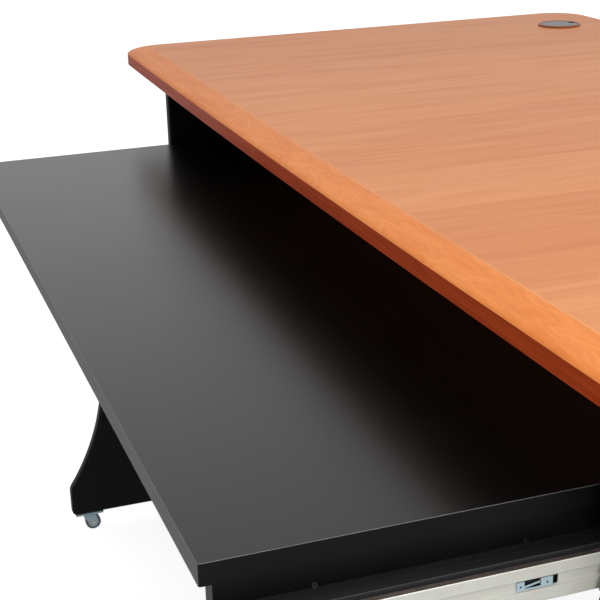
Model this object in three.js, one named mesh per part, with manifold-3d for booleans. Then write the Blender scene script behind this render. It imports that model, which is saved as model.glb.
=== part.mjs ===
// Studio desk: a cherry top on two black side panels, with a keyboard shelf that pulls out on ball slides.
// Millimetres, +Z up. The origin is on the floor, under the middle of the desk with its shelf drawn out.

import * as THREE from 'three';
import { mergeVertices } from 'three/addons/utils/BufferGeometryUtils.js';
import Module from 'manifold-3d';

// Overall sizes
const deskWidth = 1600;
const deskDepth = 800;
const deskHeight = 728;
const boardThickness = 18;
const desktopThickness = 20;
const seatGap = 0.3;
const cutOverrun = 4;

// Desktop: a laminate board with a solid cherry lipping along its front, which bows out a little
const lippingDepth = 42;
const frontBow = 7;
const frontCornerRadius = 65;
const rearCornerRadius = 60;
const desktopArris = 3;

// Cable grommets near the rear corners of the desktop
const grommetFromEnd = 138;
const grommetFromRear = 94.5;
const grommetHoleRadius = 30;
const grommetRimWidth = 4;
const grommetRimHeight = 3;
const grommetRimChamfer = 1.2;
const grommetWall = 2;
const grommetLedgeWidth = 3;
const grommetLedgeThickness = 1.5;
const grommetCapThickness = 4;
const grommetCapCrown = 0.5;
const cableNotchWidth = 14;
const cableNotchDepth = 11;

// Side panels: a straight upper edge, an ogee down to a waist, and a flared toe
const panelInset = 171;
const panelSetback = 33.5;
const panelRearSetback = 30;
const ogeeStartDrop = 99;
const toeReach = 159;
const toeHeight = 38;
const toeNoseRadius = 20;
const toeFlareRadius = 350;
const toeFlareAngle = THREE.MathUtils.degToRad(34);
const panelCornerRadius = 6;
const panelArris = 4;

// Rails between the side panels and the cleats that hold the desktop down
const modestySetback = 142;
const modestyHeight = 330;
const cleatWidth = 20;
const cleatFrontSetback = 16;

// Keyboard shelf, drawn out as it is photographed
const shelfReach = 253;
const shelfOverSlide = 20;
const shelfThickness = 17.3;
const shelfDrop = 109.6;
const shelfCornerRadius = 2;
const shelfArris = 0.8;
const cheekThickness = 18;
const cheekHeight = 54;
const cheekSetback = 9;
const battenWidth = 20;
const battenHeight = 36;
const battenDrop = 17;

// Ball slides: a cabinet member on the side panel and a shelf member on the batten
const slideThickness = 13;
const slideLength = 400;
const slideSteel = 1.2;
const slideSetback = 34.5;
const cabinetMemberHeight = 39;
const cabinetMemberDepth = 11.4;
const cabinetLip = 3;
const shelfMemberHeight = 29.4;
const shelfMemberDepth = 6;
const shelfMemberDrop = 148;
const racewayHeight = 10;
const webRecess = 2;
const webSlope = 0.6;
const stopLugHeight = 8;
const stopLugLength = 2;
const stopLugReach = 4;
const slideScrewRadius = 2.2;
const slideScrewPlaceShares = [0.09, 0.5, 0.91];

// Release lever in the web of the shelf member, and the two windows beside it
const leverFromFront = 209.9;
const leverHeight = 7;
const leverThickness = 0.8;
const leverNoseLength = 6.2;
const leverWindowLength = 12.9;
const leverTailLength = 9.3;
const leverBridge = 1.2;
const leverTongueWidth = 1.4;
const leverTongueRise = 2.2;
const leverTongueGap = 1;
const rearWindowLength = 4.6;
const windowHeight = 7.6;
const leverRivetRadius = 0.9;
const leverRivetHeight = 0.5;

// Ball cage between the two members
const cageLength = 92;
const cageSteel = 0.8;
const cageWebStandOff = 2.2;
const cageFlangeReach = 9.8;
const ballRadius = 1.5;
const ballsPerRow = 5;
const ballStandOff = 8.2;

// Casters: a small wheel in a pressed steel fork under each foot
const casterHeight = 30;
const casterPlateLength = 44;
const casterPlateThickness = 2.5;
const casterPlateCornerRadius = 2;
const casterScrewRadius = 2;
const casterScrewFromEnd = 5;
const casterFrontReach = 132.5;
const casterRearSetback = 38;
const casterTrail = 5;
const wheelRadius = 12;
const wheelWidth = 13;
const wheelShoulder = 1.8;
const tyreDepth = 3.4;
const wheelRecess = 1.9;
const wheelHubRadius = 4.4;
const wheelHubSetIn = 0.2;
const wheelBoreRadius = 2.3;
const axleRadius = 2;
const axleHeadRadius = 3.3;
const axleHeadThickness = 0.8;
const forkSteel = 1.5;
const forkCrownLength = 20;
const forkCrownThickness = 1.4;
const forkEndRadius = 6;
const forkTopClearance = 1;
const swivelPinRadius = 2.5;
const swivelRaceRadius = 7;

// How finely round shapes are faceted
const cornerSteps = 7;
const smallCornerSteps = 2;
const edgeSteps = 3;
const smallEdgeSteps = 1;
const flareSteps = 7;
const roundSides = 24;
const wheelSides = 20;
const pinSides = 12;
const ballSides = 8;
const ballRings = 5;
const mergeDistance = 1e-4;

// Where the main faces lie
const quarterTurn = Math.PI / 2;
const frontY = (shelfReach - deskDepth) / 2;
const rearY = frontY + deskDepth;
const frontArcRadius = ((deskWidth / 2) ** 2 + frontBow ** 2) / (2 * frontBow);
const undersideZ = deskHeight - desktopThickness;
const panelOuterX = deskWidth / 2 - panelInset;
const panelInnerX = panelOuterX - boardThickness;
const battenOuterX = panelInnerX - slideThickness;
const shelfHalfWidth = battenOuterX - battenWidth;
const shelfFrontY = frontY - shelfReach;
const shelfDepth = slideLength + shelfOverSlide;
const shelfUndersideZ = deskHeight - shelfDrop - shelfThickness;
const panelFrontY = frontY + panelSetback;
const panelRearY = rearY - panelRearSetback;
const panelTopZ = undersideZ - seatGap;
const modestyFrontY = rearY - modestySetback - boardThickness;
const slideMiddleZ = deskHeight - shelfMemberDrop - shelfMemberHeight / 2;
const cabinetMemberFrontY = frontY + slideSetback;
const cheekLength = shelfDepth - 2 * cheekSetback;
const cheekFrontY = shelfFrontY + cheekSetback;
const shelfMemberFrontY = cheekFrontY + seatGap;
const shelfTravelOut = cabinetMemberFrontY - shelfMemberFrontY;

const wasm = await Module();
wasm.setup();

/** A closed geometry as a solid that can be cut and joined. */
function solid(geometry) {
  const bare = geometry.clone();
  bare.deleteAttribute('normal');
  bare.deleteAttribute('uv');
  const merged = mergeVertices(bare, mergeDistance);
  return new wasm.Manifold(new wasm.Mesh({
    numProp: 3,
    vertProperties: merged.attributes.position.array,
    triVerts: Uint32Array.from(merged.index.array),
  }));
}

/** The geometry of a solid after its cuts and joins. */
function surface(manifold) {
  const mesh = manifold.getMesh();
  const geometry = new THREE.BufferGeometry();
  geometry.setAttribute('position', new THREE.BufferAttribute(mesh.vertProperties, 3));
  geometry.setIndex(new THREE.BufferAttribute(mesh.triVerts, 1));
  geometry.computeVertexNormals();
  return geometry;
}

/** A shape of straight pieces from a path, without points that lie on each other. */
function outline(path, steps) {
  const points = [];
  for (const point of path.getPoints(steps)) {
    const last = points[points.length - 1];
    if (!last || last.distanceTo(point) > mergeDistance) {
      points.push(point);
    }
  }
  if (points[0].distanceTo(points[points.length - 1]) <= mergeDistance) {
    points.pop();
  }
  return new THREE.Shape(points);
}

/** A shape through pairs of numbers. */
function polygon(pairs) {
  return new THREE.Shape(pairs.map(([across, up]) => new THREE.Vector2(across, up)));
}

/** A rectangle with one radius at all its corners. */
function roundedRectangle(halfWidth, front, rear, radius) {
  const reach = halfWidth - radius;
  const path = new THREE.Path();
  path.absarc(reach, front + radius, radius, -quarterTurn, 0, false);
  path.absarc(reach, rear - radius, radius, 0, quarterTurn, false);
  path.absarc(-reach, rear - radius, radius, quarterTurn, Math.PI, false);
  path.absarc(-reach, front + radius, radius, Math.PI, 3 * quarterTurn, false);
  return outline(path, smallCornerSteps);
}

/** A board of one outline whose arrises are rounded over, standing on Z = 0. */
function slab(shape, thickness, arris = 0, arrisSteps = edgeSteps) {
  const geometry = new THREE.ExtrudeGeometry(shape, {
    depth: thickness - 2 * arris,
    bevelEnabled: arris > 0,
    bevelThickness: arris,
    bevelSize: arris,
    bevelOffset: -arris,
    bevelSegments: arrisSteps,
  });
  return geometry.translate(0, 0, arris);
}

/** A section drawn in Y and Z and run along X from X = 0. */
function alongX(shape, length, arris = 0) {
  return slab(shape, length, arris).rotateX(quarterTurn).rotateZ(quarterTurn);
}

/** A section drawn in X and Z and run along Y from Y = 0. */
function alongY(shape, length) {
  return slab(shape, length).rotateX(quarterTurn).translate(0, length, 0);
}

/** A block between two corners. */
function block([lowX, lowY, lowZ], [highX, highY, highZ]) {
  const geometry = new THREE.BoxGeometry(highX - lowX, highY - lowY, highZ - lowZ);
  return geometry.translate((lowX + highX) / 2, (lowY + highY) / 2, (lowZ + highZ) / 2);
}

/** A round bar along X, Y or Z about a point. */
function bar(radius, length, axis, [x, y, z], sides = pinSides) {
  const geometry = new THREE.CylinderGeometry(radius, radius, length, sides);
  if (axis === 'X') {
    geometry.rotateZ(quarterTurn);
  }
  if (axis === 'Z') {
    geometry.rotateX(quarterTurn);
  }
  return geometry.translate(x, y, z);
}

/** A ring of the given section, which closes on itself, about Z. */
function ringAboutZ(pairs, sides) {
  const section = pairs.map(([radius, height]) => new THREE.Vector2(radius, height));
  section.push(section[0].clone());
  return new THREE.LatheGeometry(section, sides).rotateX(quarterTurn);
}

// Materials
const cherryLaminate = new THREE.MeshStandardMaterial({ color: '#d99d7b', roughness: 0.45, metalness: 0 });
const solidCherry = new THREE.MeshStandardMaterial({ color: '#d98045', roughness: 0.4, metalness: 0 });
const blackMelamine = new THREE.MeshStandardMaterial({ color: '#1b1a1b', roughness: 0.55, metalness: 0 });
const blackTimber = new THREE.MeshStandardMaterial({ color: '#171618', roughness: 0.6, metalness: 0 });
const zincSteel = new THREE.MeshStandardMaterial({ color: '#c2c3bf', roughness: 0.35, metalness: 0.9 });
const blueZinc = new THREE.MeshStandardMaterial({ color: '#a9b9c4', roughness: 0.35, metalness: 0.9 });
const bearingSteel = new THREE.MeshStandardMaterial({ color: '#9a9c9e', roughness: 0.25, metalness: 1 });
const greyTyre = new THREE.MeshStandardMaterial({ color: '#4a4f52', roughness: 0.6, metalness: 0 });
const brownPlastic = new THREE.MeshStandardMaterial({ color: '#8d4a2b', roughness: 0.5, metalness: 0 });
const greyPlastic = new THREE.MeshStandardMaterial({ color: '#858d92', roughness: 0.5, metalness: 0 });

const desk = new THREE.Group();
desk.name = 'studio_desk';

/** Adds one named piece to the desk, in its place. */
function addPiece(name, geometry, material, [x, y, z] = [0, 0, 0]) {
  const mesh = new THREE.Mesh(geometry, material);
  mesh.name = name;
  mesh.position.set(x, y, z);
  desk.add(mesh);
}

const sides = [
  { name: 'left', sign: -1 },
  { name: 'right', sign: 1 },
];

/** The desktop's outline: straight ends and rear, round corners, and a front edge on one wide arc. */
function desktopOutline() {
  const frontReach = deskWidth / 2 - frontCornerRadius;
  const rearReach = deskWidth / 2 - rearCornerRadius;
  const cornerSwing = frontArcRadius - frontCornerRadius;
  const swing = Math.asin(frontReach / cornerSwing);
  const arcMiddleY = frontY + frontArcRadius;
  const cornerMiddleY = arcMiddleY - cornerSwing * Math.cos(swing);
  const rearMiddleY = rearY - rearCornerRadius;
  const path = new THREE.Path();
  path.absarc(0, arcMiddleY, frontArcRadius, -quarterTurn - swing, swing - quarterTurn, false);
  path.absarc(frontReach, cornerMiddleY, frontCornerRadius, swing - quarterTurn, 0, false);
  path.absarc(rearReach, rearMiddleY, rearCornerRadius, 0, quarterTurn, false);
  path.absarc(-rearReach, rearMiddleY, rearCornerRadius, quarterTurn, Math.PI, false);
  path.absarc(-frontReach, cornerMiddleY, frontCornerRadius, Math.PI, 3 * quarterTurn - swing, false);
  return outline(path, cornerSteps);
}

/** The desktop in one piece, before the lipping is parted from the board. */
function wholeDesktop() {
  const slabGeometry = slab(desktopOutline(), desktopThickness, desktopArris);
  return solid(slabGeometry.translate(0, 0, undersideZ));
}

/** Everything in front of a line that follows the front edge at a distance behind it. */
function frontSlice(distance) {
  const halfWidth = deskWidth / 2 + cutOverrun;
  const swing = Math.asin(halfWidth / frontArcRadius);
  const arcMiddleY = frontY + distance + frontArcRadius;
  const path = new THREE.Path();
  path.moveTo(-halfWidth, frontY - cutOverrun);
  path.lineTo(halfWidth, frontY - cutOverrun);
  path.absarc(0, arcMiddleY, frontArcRadius, swing - quarterTurn, -swing - quarterTurn, true);
  const slice = slab(outline(path, cornerSteps), desktopThickness + 2 * cutOverrun);
  return solid(slice.translate(0, 0, undersideZ - cutOverrun));
}

/** The middle of a grommet. */
function grommetPlace(sign) {
  return [sign * (deskWidth / 2 - grommetFromEnd), rearY - grommetFromRear, deskHeight];
}

function addDesktop() {
  const lipping = wholeDesktop().intersect(frontSlice(lippingDepth - seatGap / 2));
  let board = wholeDesktop().subtract(frontSlice(lippingDepth + seatGap / 2));
  for (const side of sides) {
    const [x, y, z] = grommetPlace(side.sign);
    const holeLength = 2 * (desktopThickness + cutOverrun);
    const hole = bar(grommetHoleRadius, holeLength, 'Z', [x, y, z], roundSides);
    board = board.subtract(solid(hole));
  }
  addPiece('desktop_board', surface(board), cherryLaminate);
  addPiece('desktop_front_lipping', surface(lipping), solidCherry);
}

/** The liner of a cable hole: a rim on the desktop, a sleeve, and a ledge for the cap. */
function grommetRing() {
  const sleeveOuter = grommetHoleRadius - 2 * seatGap;
  const sleeveInner = sleeveOuter - grommetWall;
  const rimOuter = grommetHoleRadius + grommetRimWidth;
  const ledgeTop = grommetRimHeight - grommetCapThickness;
  const ledgeInner = sleeveInner - grommetLedgeWidth;
  return ringAboutZ([
    [ledgeInner, ledgeTop - grommetLedgeThickness],
    [sleeveInner, ledgeTop - grommetLedgeThickness],
    [sleeveInner, seatGap - desktopThickness],
    [sleeveOuter, seatGap - desktopThickness],
    [sleeveOuter, seatGap],
    [rimOuter, seatGap],
    [rimOuter, grommetRimHeight - grommetRimChamfer],
    [rimOuter - grommetRimChamfer, grommetRimHeight],
    [sleeveInner, grommetRimHeight],
    [sleeveInner, ledgeTop],
    [ledgeInner, ledgeTop],
  ], roundSides);
}

/** The round cap that turns in the liner, with a notch at its edge that lets cables through. */
function grommetCap() {
  const radius = grommetHoleRadius - 2 * seatGap - grommetWall - seatGap;
  const bottom = grommetRimHeight - grommetCapThickness + seatGap;
  const top = grommetRimHeight - grommetCapCrown;
  const disc = ringAboutZ([[0, bottom], [radius, bottom], [radius, top], [0, grommetRimHeight]], roundSides);
  const notchPath = new THREE.Path();
  const halfNotch = cableNotchWidth / 2;
  const notchEnd = radius - cableNotchDepth + halfNotch;
  notchPath.moveTo(halfNotch, radius + cutOverrun);
  notchPath.lineTo(-halfNotch, radius + cutOverrun);
  notchPath.lineTo(-halfNotch, notchEnd);
  notchPath.absarc(0, notchEnd, halfNotch, Math.PI, 2 * Math.PI, false);
  const notch = slab(outline(notchPath, cornerSteps), grommetCapThickness + 2 * cutOverrun);
  return surface(solid(disc).subtract(solid(notch.translate(0, 0, bottom - cutOverrun))));
}

function addGrommets() {
  for (const side of sides) {
    addPiece(`grommet_ring_${side.name}`, grommetRing(), brownPlastic, grommetPlace(side.sign));
    addPiece(`grommet_cap_${side.name}`, grommetCap(), greyPlastic, grommetPlace(side.sign));
  }
}

/** The side panel's outline in Y and Z, from the rear foot round to the upper rear corner. */
function sidePanelOutline() {
  const toeFrontY = frontY - toeReach;
  const noseForward = toeNoseRadius * (1 - Math.cos(toeFlareAngle));
  const noseRise = toeNoseRadius * Math.sin(toeFlareAngle);
  const flareForward = toeFlareRadius * (1 - Math.cos(toeFlareAngle));
  const flareRise = toeFlareRadius * Math.sin(toeFlareAngle);
  const noseZ = casterHeight + toeHeight;
  const waistY = toeFrontY + noseForward + flareForward;
  const waistZ = noseZ + noseRise + flareRise;
  const ogeeTopZ = undersideZ - ogeeStartDrop;
  const ogeeRise = ogeeTopZ - waistZ;
  const ogeeRun = panelFrontY - waistY;
  const ogeeRadius = (ogeeRise ** 2 + ogeeRun ** 2) / (4 * ogeeRun);
  const ogeeAngle = Math.asin(ogeeRise / 2 / ogeeRadius);
  const cornerZ = casterHeight + panelCornerRadius;
  const rearCornerY = panelRearY - panelCornerRadius;
  const path = new THREE.Path();
  path.absarc(rearCornerY, cornerZ, panelCornerRadius, -quarterTurn, 0, false);
  path.lineTo(panelRearY, panelTopZ);
  path.lineTo(panelFrontY, panelTopZ);
  path.lineTo(panelFrontY, ogeeTopZ);
  path.absarc(panelFrontY - ogeeRadius, ogeeTopZ, ogeeRadius, 0, -ogeeAngle, true);
  path.absarc(waistY + ogeeRadius, waistZ, ogeeRadius, Math.PI - ogeeAngle, Math.PI, false);
  path.absarc(waistY - toeFlareRadius, waistZ, toeFlareRadius, 0, -toeFlareAngle, true);
  path.absarc(toeFrontY + toeNoseRadius, noseZ, toeNoseRadius, Math.PI - toeFlareAngle, Math.PI, false);
  path.absarc(toeFrontY + panelCornerRadius, cornerZ, panelCornerRadius, Math.PI, 3 * quarterTurn, false);
  return outline(path, flareSteps);
}

function addSidePanels() {
  for (const side of sides) {
    const lowX = side.sign > 0 ? panelInnerX : -panelOuterX;
    const panel = alongX(sidePanelOutline(), boardThickness, panelArris);
    addPiece(`side_panel_${side.name}`, panel, blackMelamine, [lowX, 0, 0]);
  }
}

function addRails() {
  const railHalfLength = panelInnerX - seatGap;
  const modesty = block(
    [-railHalfLength, modestyFrontY, panelTopZ - modestyHeight],
    [railHalfLength, modestyFrontY + boardThickness, panelTopZ],
  );
  addPiece('modesty_panel', modesty, blackMelamine);
  const cleatRearY = modestyFrontY - seatGap;
  const rearCleatHalfLength = railHalfLength - cleatWidth - seatGap;
  const rearCleat = block(
    [-rearCleatHalfLength, cleatRearY - cleatWidth, panelTopZ - cleatWidth],
    [rearCleatHalfLength, cleatRearY, panelTopZ],
  );
  addPiece('desktop_cleat_rear', rearCleat, blackTimber);
  for (const side of sides) {
    const cleat = block(
      [-cleatWidth / 2, panelFrontY + cleatFrontSetback, panelTopZ - cleatWidth],
      [cleatWidth / 2, cleatRearY, panelTopZ],
    );
    const middleX = side.sign * (railHalfLength - cleatWidth / 2);
    addPiece(`desktop_cleat_${side.name}`, cleat, blackTimber, [middleX, 0, 0]);
  }
}

function addShelf() {
  const shape = roundedRectangle(
    shelfHalfWidth, shelfFrontY, shelfFrontY + shelfDepth, shelfCornerRadius,
  );
  const shelf = slab(shape, shelfThickness, shelfArris, smallEdgeSteps);
  addPiece('keyboard_shelf', shelf, blackMelamine, [0, 0, shelfUndersideZ]);
  const cheekTopZ = shelfUndersideZ - seatGap;
  const battenTopZ = shelfUndersideZ - battenDrop;
  for (const side of sides) {
    const cheek = block(
      [-cheekThickness / 2, cheekFrontY, cheekTopZ - cheekHeight],
      [cheekThickness / 2, cheekFrontY + cheekLength, cheekTopZ],
    );
    const cheekX = side.sign * (shelfHalfWidth - cheekThickness / 2);
    addPiece(`shelf_cheek_${side.name}`, cheek, blackMelamine, [cheekX, 0, 0]);
    const halfBatten = (battenWidth - seatGap) / 2;
    const batten = block(
      [-halfBatten, cheekFrontY, battenTopZ - battenHeight],
      [halfBatten, cheekFrontY + cheekLength, battenTopZ],
    );
    const battenX = side.sign * (battenOuterX - halfBatten);
    addPiece(`slide_batten_${side.name}`, batten, blackTimber, [battenX, 0, 0]);
  }
}

/** The cabinet member's section: a channel open to the shelf, with a lip that keeps the balls in. */
function cabinetMemberSection(sign) {
  const half = cabinetMemberHeight / 2;
  const webIn = slideSteel;
  const lipIn = cabinetMemberDepth - slideSteel;
  const upper = [
    [0, half],
    [cabinetMemberDepth, half],
    [cabinetMemberDepth, half - cabinetLip],
    [lipIn, half - cabinetLip],
    [lipIn, half - slideSteel],
    [webIn, half - slideSteel],
  ];
  const lower = upper.map(([across, up]) => [across, -up]).reverse();
  return polygon([...upper, ...lower].map(([across, up]) => [-sign * across, up]));
}

/** The shelf member's section: two raceways that face the panel and a web set back between them. */
function shelfMemberSection(sign) {
  const half = shelfMemberHeight / 2;
  const faceIn = slideThickness - seatGap - shelfMemberDepth;
  const tip = slideThickness - seatGap;
  const step = half - racewayHeight;
  const outer = [
    [tip, half],
    [faceIn, half],
    [faceIn, step],
    [faceIn + webRecess, step - webSlope],
  ];
  const inner = [
    [faceIn + webRecess + slideSteel, step - webSlope + slideSteel],
    [faceIn + slideSteel, step + slideSteel],
    [faceIn + slideSteel, half - slideSteel],
    [tip, half - slideSteel],
  ];
  const flip = (pairs) => pairs.map(([across, up]) => [across, -up]).reverse();
  const section = [...outer, ...flip(outer), ...flip(inner), ...inner];
  return polygon(section.map(([across, up]) => [-sign * across, up]));
}

function addCabinetMember(side) {
  const faceX = side.sign * (panelInnerX - seatGap);
  let member = solid(alongY(cabinetMemberSection(side.sign), slideLength));
  for (const share of slideScrewPlaceShares) {
    const hole = bar(slideScrewRadius, 2 * cutOverrun, 'X', [0, share * slideLength, 0]);
    member = member.subtract(solid(hole));
  }
  const lugTip = slideSteel + stopLugReach;
  for (const startY of [0, slideLength - stopLugLength]) {
    const lug = block(
      [-lugTip / 2, startY, -stopLugHeight / 2],
      [lugTip / 2, startY + stopLugLength, stopLugHeight / 2],
    );
    member = member.add(solid(lug.translate(-side.sign * lugTip / 2, 0, 0)));
  }
  const place = [faceX, cabinetMemberFrontY, slideMiddleZ];
  addPiece(`slide_cabinet_member_${side.name}`, surface(member), zincSteel, place);
}

function addShelfMember(side) {
  const faceX = side.sign * panelInnerX;
  let member = solid(alongY(shelfMemberSection(side.sign), slideLength));
  const windowStart = leverFromFront + leverNoseLength;
  const rearWindowStart = windowStart + leverWindowLength + leverTailLength;
  const windows = [
    [windowStart, windowStart + leverWindowLength],
    [rearWindowStart, rearWindowStart + rearWindowLength],
  ];
  for (const [fromY, toY] of windows) {
    const cutter = block(
      [-slideThickness - cutOverrun, fromY, -windowHeight / 2],
      [slideThickness + cutOverrun, toY, windowHeight / 2],
    );
    member = member.subtract(solid(cutter));
  }
  const place = [faceX, shelfMemberFrontY, slideMiddleZ];
  addPiece(`slide_shelf_member_${side.name}`, surface(member), zincSteel, place);
}

/** The lever that lets the shelf member out of the slide: two tabs, a bridge and a springy tongue. */
function addReleaseLever(side) {
  const webFace = slideThickness - seatGap - shelfMemberDepth + webRecess;
  const leverOuter = webFace - seatGap;
  const leverInner = leverOuter - leverThickness;
  const windowEnd = leverNoseLength + leverWindowLength;
  const half = leverHeight / 2;
  const tongueEnd = windowEnd - leverTongueGap;
  const tongueLow = -(leverTongueRise + leverTongueWidth) / 2;
  const tongueHigh = tongueLow + leverTongueRise;
  const path = polygon([
    [0, -half],
    [windowEnd + leverTailLength, -half],
    [windowEnd + leverTailLength, half],
    [windowEnd, half],
    [windowEnd, leverBridge - half],
    [leverNoseLength, leverBridge - half],
    [leverNoseLength, tongueLow],
    [tongueEnd, tongueHigh],
    [tongueEnd, tongueHigh + leverTongueWidth],
    [leverNoseLength, tongueLow + leverTongueWidth],
    [leverNoseLength, half],
    [0, half],
  ]);
  let lever = solid(alongX(path, leverThickness));
  const rivetLength = leverThickness + leverRivetHeight;
  const rivetX = leverThickness / 2 + side.sign * leverRivetHeight / 2;
  for (const rivetY of [leverNoseLength / 2, windowEnd + leverTailLength / 2]) {
    lever = lever.add(solid(bar(leverRivetRadius, rivetLength, 'X', [rivetX, rivetY, 0])));
  }
  const lowX = side.sign > 0 ? panelInnerX - leverOuter : leverInner - panelInnerX;
  const place = [lowX, shelfMemberFrontY + leverFromFront, slideMiddleZ];
  addPiece(`slide_release_lever_${side.name}`, surface(lever), blueZinc, place);
}

/** The cage that keeps two rows of balls between the members, halfway between their travels. */
function addBallCage(side) {
  const ballUp = (cabinetMemberHeight / 2 - slideSteel + shelfMemberHeight / 2) / 2;
  const flangeTop = ballUp + cageSteel / 2;
  const flangeBottom = ballUp - cageSteel / 2;
  const webIn = cageWebStandOff + cageSteel;
  const upper = [
    [cageWebStandOff, flangeTop],
    [cageFlangeReach, flangeTop],
    [cageFlangeReach, flangeBottom],
    [webIn, flangeBottom],
  ];
  const lower = upper.map(([across, up]) => [across, -up]).reverse();
  const section = polygon([...upper, ...lower].map(([across, up]) => [-side.sign * across, up]));
  let cage = solid(alongY(section, cageLength));
  const ballPitch = cageLength / ballsPerRow;
  for (let row = 0; row < ballsPerRow; row += 1) {
    for (const up of [-ballUp, ballUp]) {
      const ball = new THREE.SphereGeometry(ballRadius, ballSides, ballRings);
      ball.translate(-side.sign * ballStandOff, (row + 0.5) * ballPitch, up);
      cage = cage.add(solid(ball));
    }
  }
  const restY = cabinetMemberFrontY + (slideLength - cageLength) / 2 - shelfTravelOut / 2;
  const place = [side.sign * panelInnerX, restY, slideMiddleZ];
  addPiece(`slide_ball_cage_${side.name}`, surface(cage), bearingSteel, place);
}

function addSlides() {
  for (const side of sides) {
    addCabinetMember(side);
    addShelfMember(side);
    addReleaseLever(side);
    addBallCage(side);
  }
}

/** The plate screwed under the foot, with its swivel race and pin; the origin is on the swivel axis. */
function casterPlate() {
  const halfLength = casterPlateLength / 2;
  const plateTop = casterHeight - seatGap;
  const plateBottom = plateTop - casterPlateThickness;
  const shape = roundedRectangle(boardThickness / 2, -halfLength, halfLength, casterPlateCornerRadius);
  let plate = solid(slab(shape, casterPlateThickness).translate(0, 0, plateBottom));
  const crownTop = forkCrownTop();
  const raceHeight = plateTop - crownTop - seatGap;
  const race = bar(swivelRaceRadius, raceHeight, 'Z', [0, 0, plateTop - raceHeight / 2]);
  const pinLength = plateTop - crownTop + forkCrownThickness;
  const pin = bar(swivelPinRadius, pinLength, 'Z', [0, 0, plateTop - pinLength / 2]);
  plate = plate.add(solid(race)).add(solid(pin));
  for (const end of [-1, 1]) {
    const holeY = end * (halfLength - casterScrewFromEnd);
    plate = plate.subtract(solid(bar(casterScrewRadius, casterHeight, 'Z', [0, holeY, casterHeight])));
  }
  return surface(plate);
}

/** The height of the top of the fork's crown above the floor. */
function forkCrownTop() {
  return 2 * wheelRadius + forkTopClearance + forkCrownThickness;
}

/** The fork: a crown plate and two cheeks that taper to the axle; the origin is on the swivel axis. */
function casterFork() {
  const halfWidth = boardThickness / 2;
  const halfCrown = forkCrownLength / 2;
  const crownTop = forkCrownTop();
  const crown = block(
    [-halfWidth, -halfCrown, crownTop - forkCrownThickness],
    [halfWidth, halfCrown, crownTop],
  );
  const path = new THREE.Path();
  path.moveTo(-halfCrown, crownTop);
  path.lineTo(-halfCrown, crownTop - 2 * forkCrownThickness);
  path.absarc(casterTrail, wheelRadius, forkEndRadius, Math.PI, 2 * Math.PI, false);
  path.lineTo(halfCrown, crownTop - 2 * forkCrownThickness);
  path.lineTo(halfCrown, crownTop);
  const cheekShape = outline(path, cornerSteps);
  let fork = solid(crown);
  for (const lowX of [-halfWidth, halfWidth - forkSteel]) {
    fork = fork.add(solid(alongX(cheekShape, forkSteel).translate(lowX, 0, 0)));
  }
  const axlePlace = [0, casterTrail, wheelRadius];
  const axleHole = bar(axleRadius + seatGap, boardThickness + cutOverrun, 'X', axlePlace);
  const pinHole = bar(swivelPinRadius + seatGap, 2 * cutOverrun, 'Z', [0, 0, crownTop]);
  return surface(fork.subtract(solid(axleHole)).subtract(solid(pinHole)));
}

/** The rivet that the wheel turns on, with a head outside each cheek; the origin is at its middle. */
function casterAxle() {
  const halfShank = boardThickness / 2 + seatGap;
  let axle = solid(bar(axleRadius, 2 * halfShank, 'X', [0, 0, 0]));
  for (const end of [-1, 1]) {
    const headX = end * (halfShank + axleHeadThickness / 2);
    axle = axle.add(solid(bar(axleHeadRadius, axleHeadThickness, 'X', [headX, 0, 0])));
  }
  return surface(axle);
}

/** The wheel: a tyre on a dished centre with a hub; the origin is at its middle. */
function casterWheel() {
  const halfWidth = wheelWidth / 2;
  const rimRadius = wheelRadius - tyreDepth;
  const webHalf = halfWidth - wheelRecess;
  const hubHalf = halfWidth - wheelHubSetIn;
  const upper = [
    [wheelBoreRadius, hubHalf],
    [wheelHubRadius, hubHalf],
    [wheelHubRadius, webHalf],
    [rimRadius, webHalf],
    [rimRadius, halfWidth],
    [wheelRadius - wheelShoulder, halfWidth],
    [wheelRadius, halfWidth - wheelShoulder],
  ];
  const lower = upper.map(([radius, across]) => [radius, -across]).reverse();
  return ringAboutZ([...upper, ...lower].reverse(), wheelSides).rotateY(quarterTurn);
}

function addCasters() {
  const ends = [
    { name: 'front', y: frontY - casterFrontReach },
    { name: 'rear', y: panelRearY - casterRearSetback },
  ];
  for (const end of ends) {
    for (const side of sides) {
      const place = `${end.name}_${side.name}`;
      const x = side.sign * (panelInnerX + boardThickness / 2);
      const axlePlace = [x, end.y + casterTrail, wheelRadius];
      addPiece(`caster_plate_${place}`, casterPlate(), blueZinc, [x, end.y, 0]);
      addPiece(`caster_fork_${place}`, casterFork(), blueZinc, [x, end.y, 0]);
      addPiece(`caster_axle_${place}`, casterAxle(), zincSteel, axlePlace);
      addPiece(`caster_wheel_${place}`, casterWheel(), greyTyre, axlePlace);
    }
  }
}

addDesktop();
addGrommets();
addSidePanels();
addRails();
addShelf();
addSlides();
addCasters();

export default desk;
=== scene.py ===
"""Studio desk: a cherry top on black side panels on low casters, with a keyboard shelf on ball slides."""

import logging
import math
from dataclasses import dataclass, replace
from enum import Enum
from typing import Callable, Iterable, Sequence

import bmesh
import bpy
from mathutils import Matrix, Vector


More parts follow.
